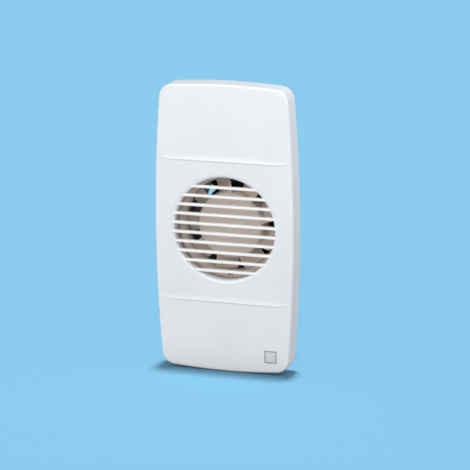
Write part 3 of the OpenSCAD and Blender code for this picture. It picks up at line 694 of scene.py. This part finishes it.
# %% The slat tree
slat_tree, given, slat_out = new_tree("slats", [
    ("Count", "Int"), ("Pitch", "Float"), ("Thickness", "Float"), ("Depth", "Float"), ("Rounding", "Float"),
    ("Middle Y", "Float"), ("Middle Z", "Float"), ("Front Y", "Float"), ("Cone Radius", "Float"),
    ("Cone Slope", "Float"), ("Material", "Material")])
spine = add(slat_tree, "GeometryNodeCurvePrimitiveLine", {"Start": (-0.01, 0, 0), "End": (0.01, 0, 0)})
section = rounded(slat_tree, given["Depth"], given["Thickness"], given["Rounding"])
sweep = add(slat_tree, "GeometryNodeCurveToMesh", {"Curve": spine, "Profile Curve": section, "Fill Caps": True})
pitches = calc(slat_tree, "SUBTRACT", given["Count"], 1.0)
low_half = calc(slat_tree, "MULTIPLY", calc(slat_tree, "MULTIPLY", pitches, given["Pitch"]), -0.5)
lowest = calc(slat_tree, "ADD", low_half, given["Middle Z"])
placed = in_row(slat_tree, sweep, given["Count"], {"Y": given["Middle Y"], "Z": lowest}, {"Z": given["Pitch"]})
real = add(slat_tree, "GeometryNodeRealizeInstances", {0: placed})
spot = add(slat_tree, "GeometryNodeInputPosition")
xyz = add(slat_tree, "ShaderNodeSeparateXYZ", {0: spot})
behind = calc(slat_tree, "SUBTRACT", xyz.outputs["Y"], given["Front Y"])
narrower = calc(slat_tree, "MULTIPLY", behind, given["Cone Slope"])
cone_r = calc(slat_tree, "SUBTRACT", given["Cone Radius"], narrower)
r_squared = calc(slat_tree, "MULTIPLY", cone_r, cone_r)
z_squared = calc(slat_tree, "MULTIPLY", xyz.outputs["Z"], xyz.outputs["Z"])
reach = calc(slat_tree, "SQRT", calc(slat_tree, "SUBTRACT", r_squared, z_squared))
out_x = calc(slat_tree, "MULTIPLY", reach, calc(slat_tree, "SIGN", xyz.outputs["X"]))
new_spot = add(slat_tree, "ShaderNodeCombineXYZ", {"X": out_x, "Y": xyz.outputs["Y"], "Z": xyz.outputs["Z"]})
trimmed = add(slat_tree, "GeometryNodeSetPosition", {"Geometry": real, "Position": new_spot})
close(slat_tree, slat_out, trimmed, given["Material"])

# %% Grow the slats
slat_low, slat_high = box_mm("grille_slats")
SLAT_COUNT, SLAT_T = 10, 2.0
SLAT_PITCH = (slat_high.z - slat_low.z - SLAT_T) / (SLAT_COUNT - 1)
SLAT_DEPTH = slat_high.y - slat_low.y - 0.15
slats_mesh = grow("slats_raw", slat_tree, {
    "Count": SLAT_COUNT, "Pitch": SLAT_PITCH * MM, "Thickness": SLAT_T * MM, "Depth": SLAT_DEPTH * MM,
    "Rounding": 0.55 * MM, "Middle Y": (slat_high.y - SLAT_DEPTH / 2) * MM,
    "Middle Z": (slat_low.z + slat_high.z) / 2 * MM, "Front Y": FRONT_Y * MM,
    "Cone Radius": (MOUTH_R + 0.8) * MM, "Cone Slope": FUNNEL_TAPER / (FUNNEL_BACK_Y - FRONT_Y),
    "Material": slat_abs_painted_light})
add_piece("grille_slat_bars", slats_mesh, slat_abs_painted_light, "cover", ["grille_slats"], angle=40)
span = [[round(f(v.co[i] for v in slats_mesh.vertices) / MM, 2) for f in (min, max)] for i in range(3)]
print("slats span in mm", span)

# %% [markdown]
# ## The impeller's hub
# A shallow cup pushed over the motor can. Its shoulder is well rounded, a faint step runs
# round the face where the mould's insert was, and the boss that grips the shaft stands
# inside. A profile of radius and depth, spun round the duct's axis, makes it, and its
# corners are rounded before it is spun: every corner becomes a small arc, which is how a
# mould maker draws it.

# %% Spin a profile
def spun(profile, count):
    """A closed profile of (radius, y) spun round the duct's axis, as a bmesh in millimetres."""
    made = bmesh.new()
    columns = []
    for i in range(count):
        a = 2 * math.pi * i / count
        columns.append([made.verts.new((r * math.cos(a), y, r * math.sin(a))) for r, y in profile])
    for i in range(count):
        here, after = columns[i], columns[(i + 1) % count]
        for k in range(len(profile)):
            j = (k + 1) % len(profile)
            if profile[k][0] > 1e-6 or profile[j][0] > 1e-6:
                made.faces.new((here[k], here[j], after[j], after[k]))
    bmesh.ops.remove_doubles(made, verts=made.verts, dist=1e-5)
    bmesh.ops.dissolve_degenerate(made, edges=made.edges, dist=1e-6)
    return made


# %% Build the hub
hub_low, hub_high = box_mm("impeller_hub")
HUB_R, HUB_FRONT, HUB_BACK = hub_high.x, hub_low.y, hub_high.y
SHAFT_R = box_mm("shaft")[1].x
HUB_WALL, BOSS_R, BOSS_BACK = 1.8, SHAFT_R + 3, HUB_FRONT + 7.8
hub_profile = soften([
    (0, HUB_FRONT + 0.25), (7.5, HUB_FRONT + 0.25, 0.3), (8.0, HUB_FRONT, 0.3), (HUB_R - 1.2, HUB_FRONT, 2.6),
    (HUB_R, HUB_FRONT + 3.4, 2.2), (HUB_R, HUB_BACK, 0.35), (HUB_R - HUB_WALL, HUB_BACK, 0.35),
    (HUB_R - HUB_WALL, HUB_FRONT + 3.2, 1.0), (HUB_R - HUB_WALL - 1.6, HUB_FRONT + 1.8, 0.8),
    (BOSS_R, HUB_FRONT + 1.8, 0.5), (BOSS_R, BOSS_BACK, 0.25), (SHAFT_R + 0.02, BOSS_BACK, 0.2),
    (SHAFT_R + 0.02, HUB_FRONT + 1.8, 0), (0, HUB_FRONT + 1.8)], 0.3, steps=6)
add_piece("impeller_hub_cup", mesh_from(spun(hub_profile, 144)), beige_pp, "rotor",
          ["impeller_hub"], angle=40)

# %% [markdown]
# ## The blades
# A blade is thin, cambered and twisted: steep at the hub, flatter at the tip, because the
# tip moves faster. One is drawn as a loft of closed sections, each wrapped round its own
# cylinder so that the tip runs true in the tube. Geometry Nodes then repeat it round the
# hub, at the angle where the first one stands.

# %% Draw one blade
blade_low, blade_high = box_mm("impeller_blades")
TIP_R = max(blade_high.x, blade_high.z, -blade_low.x, -blade_low.z)
BLADE_COUNT, BLADE_CHORD, BLADE_Y, FIRST_BLADE = 9, 19.0, HUB_FRONT + 7.4, 22.0
TIP_ROUND, CAMBER, HUB_ANGLE, TWIST = 1.4, 1.5, 43, 9


def blade_section(r):
    """A closed ring of points round the blade's section at radius r."""
    out = (r - HUB_R) / (TIP_R - HUB_R)
    pitch = math.radians(HUB_ANGLE - TWIST * out)
    half = BLADE_CHORD / 2
    if r > TIP_R - TIP_ROUND:
        half += math.sqrt(max(0.0, TIP_ROUND ** 2 - (r - TIP_R + TIP_ROUND) ** 2)) - TIP_ROUND
    thick = 1.35 - 0.35 * out + 0.9 * math.exp(-max(0.0, r - HUB_R) / 0.6)
    steps, nose = 14, 4
    loop = []

    def station(s):
        """A place on the curved middle line, and its slope there."""
        return s * half, CAMBER * (1 - (s * half / (BLADE_CHORD / 2)) ** 2), math.atan2(-2 * CAMBER * s, half)

    for side in (1, -1):
        for k in range(steps + 1):
            s = side * (1 - 2 * k / steps)
            u, w, slope = station(s)
            full = thick / 2 * (1 - 0.25 * abs(s) ** 3)
            loop.append((u + side * full * math.sin(slope), w + side * full * math.cos(slope)))
        u, w, slope = station(-side)
        full = thick / 2 * 0.75
        for k in range(1, nose):
            a = math.pi * k / nose
            du, dw = -side * full * math.sin(a), side * full * math.cos(a)
            loop.append((u + du * math.cos(slope) - dw * math.sin(slope),
                         w + du * math.sin(slope) + dw * math.cos(slope)))
    ring_points = []
    for u, w in loop:
        across = u * math.cos(pitch) - w * math.sin(pitch)
        back = u * math.sin(pitch) + w * math.cos(pitch)
        angle = across / r
        ring_points.append((r * math.cos(angle), BLADE_Y - CAMBER * 0.6 + back, r * math.sin(angle)))
    return ring_points


bm = bmesh.new()
radii = [HUB_R - 0.9, HUB_R, HUB_R + 0.4, HUB_R + 1.0, HUB_R + 2.2]
radii += [HUB_R + 2.2 + (TIP_R - TIP_ROUND - HUB_R - 2.2) * k / 3 for k in (1, 2, 3)]
radii += [TIP_R - TIP_ROUND + TIP_ROUND * math.sin(math.pi / 2 * k / 6) for k in range(1, 6)]
radii += [TIP_R - 0.02]
sections = [[bm.verts.new(p) for p in blade_section(r)] for r in radii]
skin(bm, sections)
bm.faces.new(sections[0])
bm.faces.new(sections[-1])
one_blade = mesh_from(bm)
print("one blade faces", len(one_blade.polygons))

# %% Repeat it round the hub
ring_tree, given, ring_out = new_tree("round_the_axis", [("Count", "Int"), ("First Angle", "Float"),
                                      ("Material", "Material")])
share = calc(ring_tree, "DIVIDE", -2 * math.pi, given["Count"])
copies = round_axis(ring_tree, given["Geometry"], given["Count"], share, given["First Angle"])
solid = add(ring_tree, "GeometryNodeRealizeInstances", {0: copies})
close(ring_tree, ring_out, solid, given["Material"])
blades_mesh = grow("blades_raw", ring_tree, {"Count": BLADE_COUNT, "First Angle": math.radians(FIRST_BLADE),
                   "Material": beige_pp}, one_blade)
add_piece("impeller_blade_ring", blades_mesh, beige_pp, "rotor", ["impeller_blades"], angle=40)
print("blade tips reach", round(max(math.hypot(v.co.x, v.co.z) for v in blades_mesh.vertices) / MM, 2))

# %% [markdown]
# ## Softening the engineering shapes
# The other pieces already have the right shape, but a drawing's edges are knife-sharp and
# a real edge always catches a line of light. The node itself is left alone: its mesh is
# copied, its loose triangles are merged into faces, its corners are bevelled by about a
# quarter of a millimetre, and the copy stands for it.

# %% Copy, merge and bevel a node
def softened(node, name, material, body, width, angle=32):
    """Makes a copy of a node, with bevels this wide at its sharp edges, that takes its place."""
    made = bmesh.new()
    made.from_mesh(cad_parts[node].data)
    bmesh.ops.scale(made, vec=(1 / MM,) * 3, verts=made.verts)
    bmesh.ops.remove_doubles(made, verts=made.verts, dist=2e-4)
    bmesh.ops.dissolve_limit(made, angle_limit=math.radians(0.6), verts=made.verts[:], edges=made.edges[:])
    crisp = [e for e in made.edges if len(e.link_faces) == 2 and e.calc_face_angle() > math.radians(angle)]
    bmesh.ops.bevel(made, geom=crisp, offset=width, segments=2, profile=0.6, affect="EDGES", clamp_overlap=True)
    long_faces = [f for f in made.faces if len(f.verts) > 4]
    bmesh.ops.triangulate(made, faces=long_faces)
    bmesh.ops.scale(made, vec=(MM,) * 3, verts=made.verts)
    mesh = bpy.data.meshes.new(name)
    made.to_mesh(mesh)
    made.free()
    add_piece(name, mesh, material, body, [node], angle=angle)


for node, name, material, body, slot, width in (
        ("back_plate", "base_plate", base_abs, "base", "base_white", 0.25),
        ("fan_tube", "fan_tube_moulding", tube_pp_painted_shade, "base", "fan_beige", 0.25),
        ("motor_carrier", "motor_can_and_arms", charcoal_pp, "base", "motor_charcoal", 0.25),
        ("motor_end_cap", "motor_cap", charcoal_pp, "base", "motor_charcoal", 0.2),
        ("terminal_box", "wiring_box", base_abs, "base", "base_white", 0.25),
        ("terminal_lid", "wiring_lid", base_abs, "base", "base_white", 0.3),
        ("terminal_block", "two_pole_block", terminal_nylon, "base", "terminal_nylon", 0.2),
        ("cord_clamp", "cord_saddle", terminal_nylon, "base", "terminal_nylon", 0.3),
        ("cable_grommet", "entry_grommet", rubber, "base", "grommet_rubber", 0.3),
        ("tube_screws", "flange_screws", zinc, "base", "zinc_steel", 0.12),
        ("lid_screw", "wiring_lid_screw", zinc, "base", "zinc_steel", 0.12),
        ("clamp_screws", "saddle_screws", zinc, "base", "zinc_steel", 0.12),
        ("block_screw", "block_fixing_screw", zinc, "base", "zinc_steel", 0.12),
        ("terminal_screws", "pole_screws", zinc, "base", "zinc_steel", 0.1),
        ("terminal_clamps", "pole_clamps", brass, "base", "brass", 0.12),
        ("stator_core", "stator_stack", lamination, "base", "lamination_steel", 0.08),
        ("rotor_core", "rotor_stack", lamination, "rotor", "lamination_steel", 0.08),
        ("rotor_cage", "rotor_bars_and_rings", aluminium, "rotor", "cast_aluminium", 0.15),
        ("front_bracket", "front_bearing_bracket", zinc, "base", "zinc_steel", 0.15),
        ("rear_bracket", "rear_bearing_bracket", zinc, "base", "zinc_steel", 0.15),
        ("front_bush", "front_bearing_bush", bronze, "base", "sintered_bronze", 0.12),
        ("rear_bush", "rear_bearing_bush", bronze, "base", "sintered_bronze", 0.12),
        ("oil_felts", "bearing_felts", felt, "base", "felt", 0.25),
        ("motor_screws", "stack_screws", zinc, "base", "zinc_steel", 0.1),
        ("motor_spacers", "stack_spacers", zinc, "base", "zinc_steel", 0.08),
        ("coil_bobbins", "winding_bobbins", bobbin_nylon, "base", "bobbin_nylon", 0.12),
        ("shading_rings", "pole_shading_rings", shading_copper, "base", "copper", 0.15),
        ("shaft", "motor_shaft", ground, "rotor", "shaft_steel", 0.25),
        ("thrust_washers", "end_play_washers", fibre, "rotor", "fibre", 0.1),
        ("boss_ring", "hub_grip_ring", zinc, "rotor", "zinc_steel", 0.15)):
    softened(node, name, material, body, width)

# %% [markdown]
# ## The blank badge
# A little plate glued into a recess near the lower right corner. It is left blank. Its
# face is printed silver-grey with one thin dark border, which follows the distance from
# the plate's centre, so the border is drawn by the material and stays sharp at any size.

# %% Badge finish and plate
BORDER_IN, BORDER_HALF = 0.7, 0.26
badge_print, tree, shader, coords = begin("printed silver foil", IOR=1.5, Roughness=0.38, Metallic=0.1)
place = add(tree, "ShaderNodeMapping", {"Vector": coords, "Location": tuple(-v * MM for v in badge_mid)})
apart = add(tree, "ShaderNodeSeparateXYZ", {0: place.outputs["Vector"]})
off_x = calc(tree, "ABSOLUTE", apart.outputs["X"])
off_z = calc(tree, "ABSOLUTE", apart.outputs["Z"])
farther = calc(tree, "MAXIMUM", off_x, off_z)
border = calc(tree, "COMPARE", farther, (badge_high.x - badge_mid.x - BORDER_IN) * MM, BORDER_HALF * MM)
foil_grain = noise(tree, coords, 0.6, 4.0)
foil = add(tree, "ShaderNodeMixRGB", {"Fac": foil_grain, "Color1": linear("#D5D9DE"), "Color2": linear("#DEE1E5")})
ink = add(tree, "ShaderNodeMixRGB", {"Fac": border, "Color1": foil, "Color2": linear("#6E737B")})
feed(shader, {"Base Color": ink, "Normal": bump(tree, foil_grain, 0.3, 0.01)})
softened("badge_plate", "badge_blank", badge_print, "cover", 0.08)

# %% [markdown]
# ## Wound coils
# Each of the motor's four coils is enamelled copper wire wound on a bobbin in neat
# layers. A turn is a rounded rectangle of wire; a row of turns makes a layer, and four
# layers nest inside each other. The tree below winds one layer and repeats it round the
# motor; running it once for each layer gives the whole winding.

# %% The winding tree
wind_tree, given, wind_out = new_tree("winding", [
    ("Turns", "Int"), ("Pitch", "Float"), ("Wire Radius", "Float"), ("Across", "Float"), ("Along", "Float"),
    ("Corner", "Float"), ("First Radius", "Float"), ("Middle Y", "Float"), ("Material", "Material")])
path = rounded(wind_tree, given["Across"], given["Along"], given["Corner"])
wire = add(wind_tree, "GeometryNodeCurvePrimitiveCircle", {"Resolution": 8, "Radius": given["Wire Radius"]})
loop = add(wind_tree, "GeometryNodeCurveToMesh", {"Curve": path, "Profile Curve": wire})
layer = in_row(wind_tree, loop, given["Turns"], {"X": given["First Radius"], "Y": given["Middle Y"]},
               {"X": given["Pitch"]}, (0, math.pi / 2, 0))
coils = round_axis(wind_tree, layer, 4, math.pi / 2)
wound = add(wind_tree, "GeometryNodeRealizeInstances", {0: coils})
close(wind_tree, wind_out, wound, given["Material"])

# %% Wind the coils
coil_high = box_mm("coil_windings")[1]
stack_low, stack_high = box_mm("stator_core")
enamel = metal("enamelled copper wire", "#D08A55", "#A8622F", 0.32, 0.06, 1.0)
WIRE_R, POLE_W, TURN_PITCH, LAYER_STEP, COIL_LENGTH = 0.25, 7.0, 0.56, 0.43, 3.3
wrap = coil_high.y - stack_high.y
coil_inner_r = max(coil_high.x, coil_high.z) - COIL_LENGTH
layers = []
for layer_number in range(4):
    inset = WIRE_R + layer_number * LAYER_STEP
    layers.append(grow("winding_layer_%d" % (layer_number + 1), wind_tree, {
        "Turns": 6 if layer_number % 2 == 0 else 5, "Pitch": TURN_PITCH * MM, "Wire Radius": WIRE_R * MM,
        "Across": (POLE_W + 2 * (wrap - inset)) * MM,
        "Along": (stack_high.y - stack_low.y + 2 * (wrap - inset)) * MM,
        "Corner": max(0.3, 1.6 - layer_number * 0.35) * MM,
        "First Radius": (coil_inner_r + WIRE_R + (TURN_PITCH / 2 if layer_number % 2 else 0)) * MM,
        "Middle Y": (stack_low.y + stack_high.y) / 2 * MM, "Material": enamel}))
add_piece("motor_windings", joined(layers), enamel, "base", ["coil_windings"], angle=60)

# %% [markdown]
# ## The two leads
# A brown and a blue lead run from the coils down the lower arm, forward beside the tube
# and into the wiring box. A route of a few corners is enough: the tree turns it into a
# curve, rounds each corner and sweeps a circle along it.

# %% The lead tree and both leads
lead_tree, given, lead_out = new_tree("lead", [("Bend Radius", "Float"), ("Radius", "Float"),
                                      ("Material", "Material")])
as_curve = add(lead_tree, "GeometryNodeMeshToCurve", {0: given["Geometry"]})
eased = add(lead_tree, "GeometryNodeFilletCurve", {"Curve": as_curve, "Count": 8,
            "Radius": given["Bend Radius"], "Limit Radius": True}, mode="POLY")
sleeve = add(lead_tree, "GeometryNodeCurvePrimitiveCircle", {"Resolution": 20, "Radius": given["Radius"]})
swept = add(lead_tree, "GeometryNodeCurveToMesh", {"Curve": eased, "Profile Curve": sleeve, "Fill Caps": True})
close(lead_tree, lead_out, swept, given["Material"])
LEAD_R = 0.9
for side, node, finish, slot in ((-1, "motor_lead_live", brown_pvc, "lead_brown"),
                                 (1, "motor_lead_neutral", blue_pvc, "lead_blue")):
    low, high = box_mm(node)
    x = side * 1.3
    end_x = -14 + side * 5.5
    back_y = high.y - LEAD_R
    down_z = box_mm("terminal_box")[1].z
    run_z = down_z - 4 - (side + 1) * 1.2
    route = [(x, stack_high.y + 3.5, -14.9), (x, back_y, -18.8), (x, back_y, -41.2), (x, -3.1, -41.2),
             (x, -3.1, -48.4), (x, -7.0, down_z + 1.5), (x, -7.0, run_z), (end_x, -8.2, run_z),
             (end_x, -8.2, box_mm("terminal_block")[1].z - 3)]
    path = bpy.data.meshes.new("route")
    path.from_pydata([tuple(c * MM for c in p) for p in route], [(i, i + 1) for i in range(len(route) - 1)], [])
    lead_mesh = grow(node + "_raw", lead_tree, {"Bend Radius": 1.2 * MM, "Radius": LEAD_R * MM, "Material": finish},
                     path)
    add_piece(node + "_sleeve", lead_mesh, finish, "base", [node], angle=60)

# %% [markdown]
# ## Floor, air and light
# The fan stands on a plain pale blue floor that runs far behind it, under an even sky of
# soft light. Where the camera looks past the floor, the sky has the floor's colour, so no
# horizon shows. The paper looks blue to the camera but sends grey light back to the fan,
# because blue light from so near would tint the white cover.

# %% Floor and sky
def sheet(name, corners, material):
    """A flat sheet for the set, which is no part of the fan."""
    mesh = bpy.data.meshes.new(name)
    mesh.from_pydata(corners, [], [tuple(range(len(corners)))])
    mesh.materials.append(material)
    made = bpy.data.objects.new(name, mesh)
    scene.collection.objects.link(made)
    return made


BLUE = linear("#8CCCF0")
# The lamps brighten the paper by GAIN, a trace of glow evens it out, and shiny pieces mirror
# some of the blue beside the white sky
GAIN, GLOW, MIRRORED = 1.53, 0.06, 0.4
floor_z = cad_bounds[0][2] - 0.2 * MM
paper, tree, lit, _ = begin("matt blue paper", Roughness=0.95, Specular_IOR_Level=0.0)
floor = sheet("floor", [(-30, -30, floor_z), (30, -30, floor_z), (30, 30, floor_z), (-30, 30, floor_z)], paper)
plain = add(tree, "ShaderNodeEmission", {"Color": BLUE, "Strength": 1.0})
ray = add(tree, "ShaderNodeLightPath")
paper_tone = add(tree, "ShaderNodeMixRGB", {"Fac": ray.outputs["Is Camera Ray"], "Color1": linear("#A2A8AE"),
                 "Color2": [c / GAIN for c in BLUE[:3]] + [1.0]})
feed(lit, {"Base Color": paper_tone})
share = calc(tree, "MULTIPLY", ray.outputs["Is Camera Ray"], GLOW)
feed(tree.nodes["Material Output"], {"Surface": add(tree, "ShaderNodeMixShader", {0: share, 1: lit, 2: plain})})

world = bpy.data.worlds.new("even sky")
scene.world = world
world.use_nodes = True
tree = world.node_tree
sky = tree.nodes["Background"]
feed(sky, {"Color": linear("#FFFDFA"), "Strength": 0.48})
seen = add(tree, "ShaderNodeBackground", {"Color": BLUE, "Strength": 1.0})
ray = add(tree, "ShaderNodeLightPath")
in_metal = calc(tree, "MULTIPLY", ray.outputs["Is Glossy Ray"], MIRRORED)
straight = calc(tree, "MAXIMUM", ray.outputs["Is Camera Ray"], ray.outputs["Is Transmission Ray"])
either = calc(tree, "MAXIMUM", straight, in_metal)
feed(tree.nodes["World Output"], {"Surface": add(tree, "ShaderNodeMixShader", {0: either, 1: sky, 2: seen})})
print("floor at mm", round(floor_z / MM, 2), "sky strength", sky.inputs["Strength"].default_value)

# %% [markdown]
# ## A card of painted shade in the duct
# On a wall the fan's duct leads into the dark, but on a table the sky would shine through
# it from behind. This card paints that dark in: it stands in the spigot's end and looks black
# to the camera from the front, and yet lets a third of the light past, so that the motor can
# still be seen from behind. It is black but for its upper left part, where the air behind
# shows between two blades, and from behind it can't be seen at all.

# %% The black card
CARD_R, WINDOW_X, WINDOW_Z, LIGHT_PAST = 38.2, -22, 4, 0.35
card_y = cad_bounds[1][1] - 1.5 * MM
# painted shade: to the camera the card is black, standing for the dark the duct leads into, while other rays pass a
# third of their light
black, tree, dull, coords = begin("black card", Base_Color=linear("#101010"), Roughness=0.9)
sheet("duct_shade_card", [(x * MM, card_y, z * MM) for x, z in circle(CARD_R)], black)
ray = add(tree, "ShaderNodeLightPath")
axes = add(tree, "ShaderNodeSeparateXYZ", {0: coords})
far_left = calc(tree, "LESS_THAN", axes.outputs["X"], WINDOW_X * MM)
high_up = calc(tree, "GREATER_THAN", axes.outputs["Z"], WINDOW_Z * MM)
gap = calc(tree, "MULTIPLY", far_left, high_up)
behind = add(tree, "ShaderNodeNewGeometry")
window = calc(tree, "MAXIMUM", gap, behind.outputs["Backfacing"])
not_seen = calc(tree, "SUBTRACT", 1.0, ray.outputs["Is Camera Ray"])
leak = calc(tree, "MULTIPLY", not_seen, LIGHT_PAST)
unseen = calc(tree, "MULTIPLY_ADD", ray.outputs["Is Camera Ray"], window, leak)
clear = add(tree, "ShaderNodeBsdfTransparent")
feed(tree.nodes["Material Output"], {"Surface": add(tree, "ShaderNodeMixShader", {0: unseen, 1: dull, 2: clear})})
print("card at mm", round(card_y / MM, 2))

# %% [markdown]
# ## Three lamps
# A soft box in front, a little to the left and above, lights the face and falls off gently
# towards the bottom. A small fill on the right keeps the narrow side from going grey. A
# soft sun almost overhead lights the floor alone and gives the fan its short, soft shadow.
# Light linking decides which lamp reaches what: a collection that includes the floor makes
# a lamp shine on nothing else, and one that excludes it makes a lamp leave it out.

# %% Lamps
def lamp(name, kind, towards, distance, power, **settings):
    """A lamp that looks at the fan from a direction given as azimuth and elevation in degrees."""
    azimuth, elevation = (math.radians(v) for v in towards)
    away = Vector((math.sin(azimuth) * math.cos(elevation), -math.cos(azimuth) * math.cos(elevation),
                   math.sin(elevation)))
    data = bpy.data.lights.new(name, kind)
    data.energy = power
    for key, value in settings.items():
        setattr(data, key, value)
    made = bpy.data.objects.new(name, data)
    scene.collection.objects.link(made)
    made.matrix_world = Matrix.Translation(away * distance) @ away.to_track_quat("Z", "Y").to_matrix().to_4x4()
    return made


soft_box = lamp("soft_box", "AREA", (-16, 33), 1.4, 8.95, shape="SQUARE", size=0.55, color=(1.0, 0.985, 0.955))
fill = lamp("side_fill", "AREA", (66, 51), 0.40, 0.45, shape="SQUARE", size=0.2, color=(0.94, 0.98, 1.0))
overhead = lamp("overhead", "SUN", (180, 86.7), 3.0, 3.3, angle=math.radians(5.0))
for name, state, linked in (("all but the floor", "EXCLUDE", (soft_box, fill)),
                            ("the floor alone", "INCLUDE", (overhead,))):
    lit_by = bpy.data.collections.new(name)
    lit_by.objects.link(floor)
    lit_by.collection_objects[0].light_linking.link_state = state
    for one in linked:
        one.light_linking.receiver_collection = lit_by

# %% [markdown]
# ## The camera
# The portrait looks at the fan from a little to the right and a little above, with a long
# lens, which keeps its sides nearly parallel. The aim point, the distance and a slight
# roll put the fan where it belongs in the frame.

# %% Place the camera
AZIMUTH, ELEVATION, ROLL = math.radians(18.47), math.radians(14.14), math.radians(0.413)
DISTANCE, AIM = 2.18125, Vector((0.003017, 0.0, -0.008613))
forward = Vector((-math.sin(AZIMUTH) * math.cos(ELEVATION), math.cos(AZIMUTH) * math.cos(ELEVATION),
                  -math.sin(ELEVATION)))
right = Vector((math.cos(AZIMUTH), math.sin(AZIMUTH), 0))
down = forward.cross(right)
right_rolled = math.cos(ROLL) * right + math.sin(ROLL) * down
down_rolled = -math.sin(ROLL) * right + math.cos(ROLL) * down
camera_data = bpy.data.cameras.new("portrait")
camera_data.lens = 208.07
camera_data.sensor_width = 36
camera_data.clip_end = 100
camera = bpy.data.objects.new("portrait", camera_data)
scene.collection.objects.link(camera)
turn = Matrix((right_rolled, -down_rolled, -forward)).transposed().to_4x4()
camera.matrix_world = Matrix.Translation(AIM - DISTANCE * forward) @ turn
scene.camera = camera
scene.view_settings.view_transform = "Standard"
print("camera at", [round(v, 3) for v in camera.matrix_world.translation])
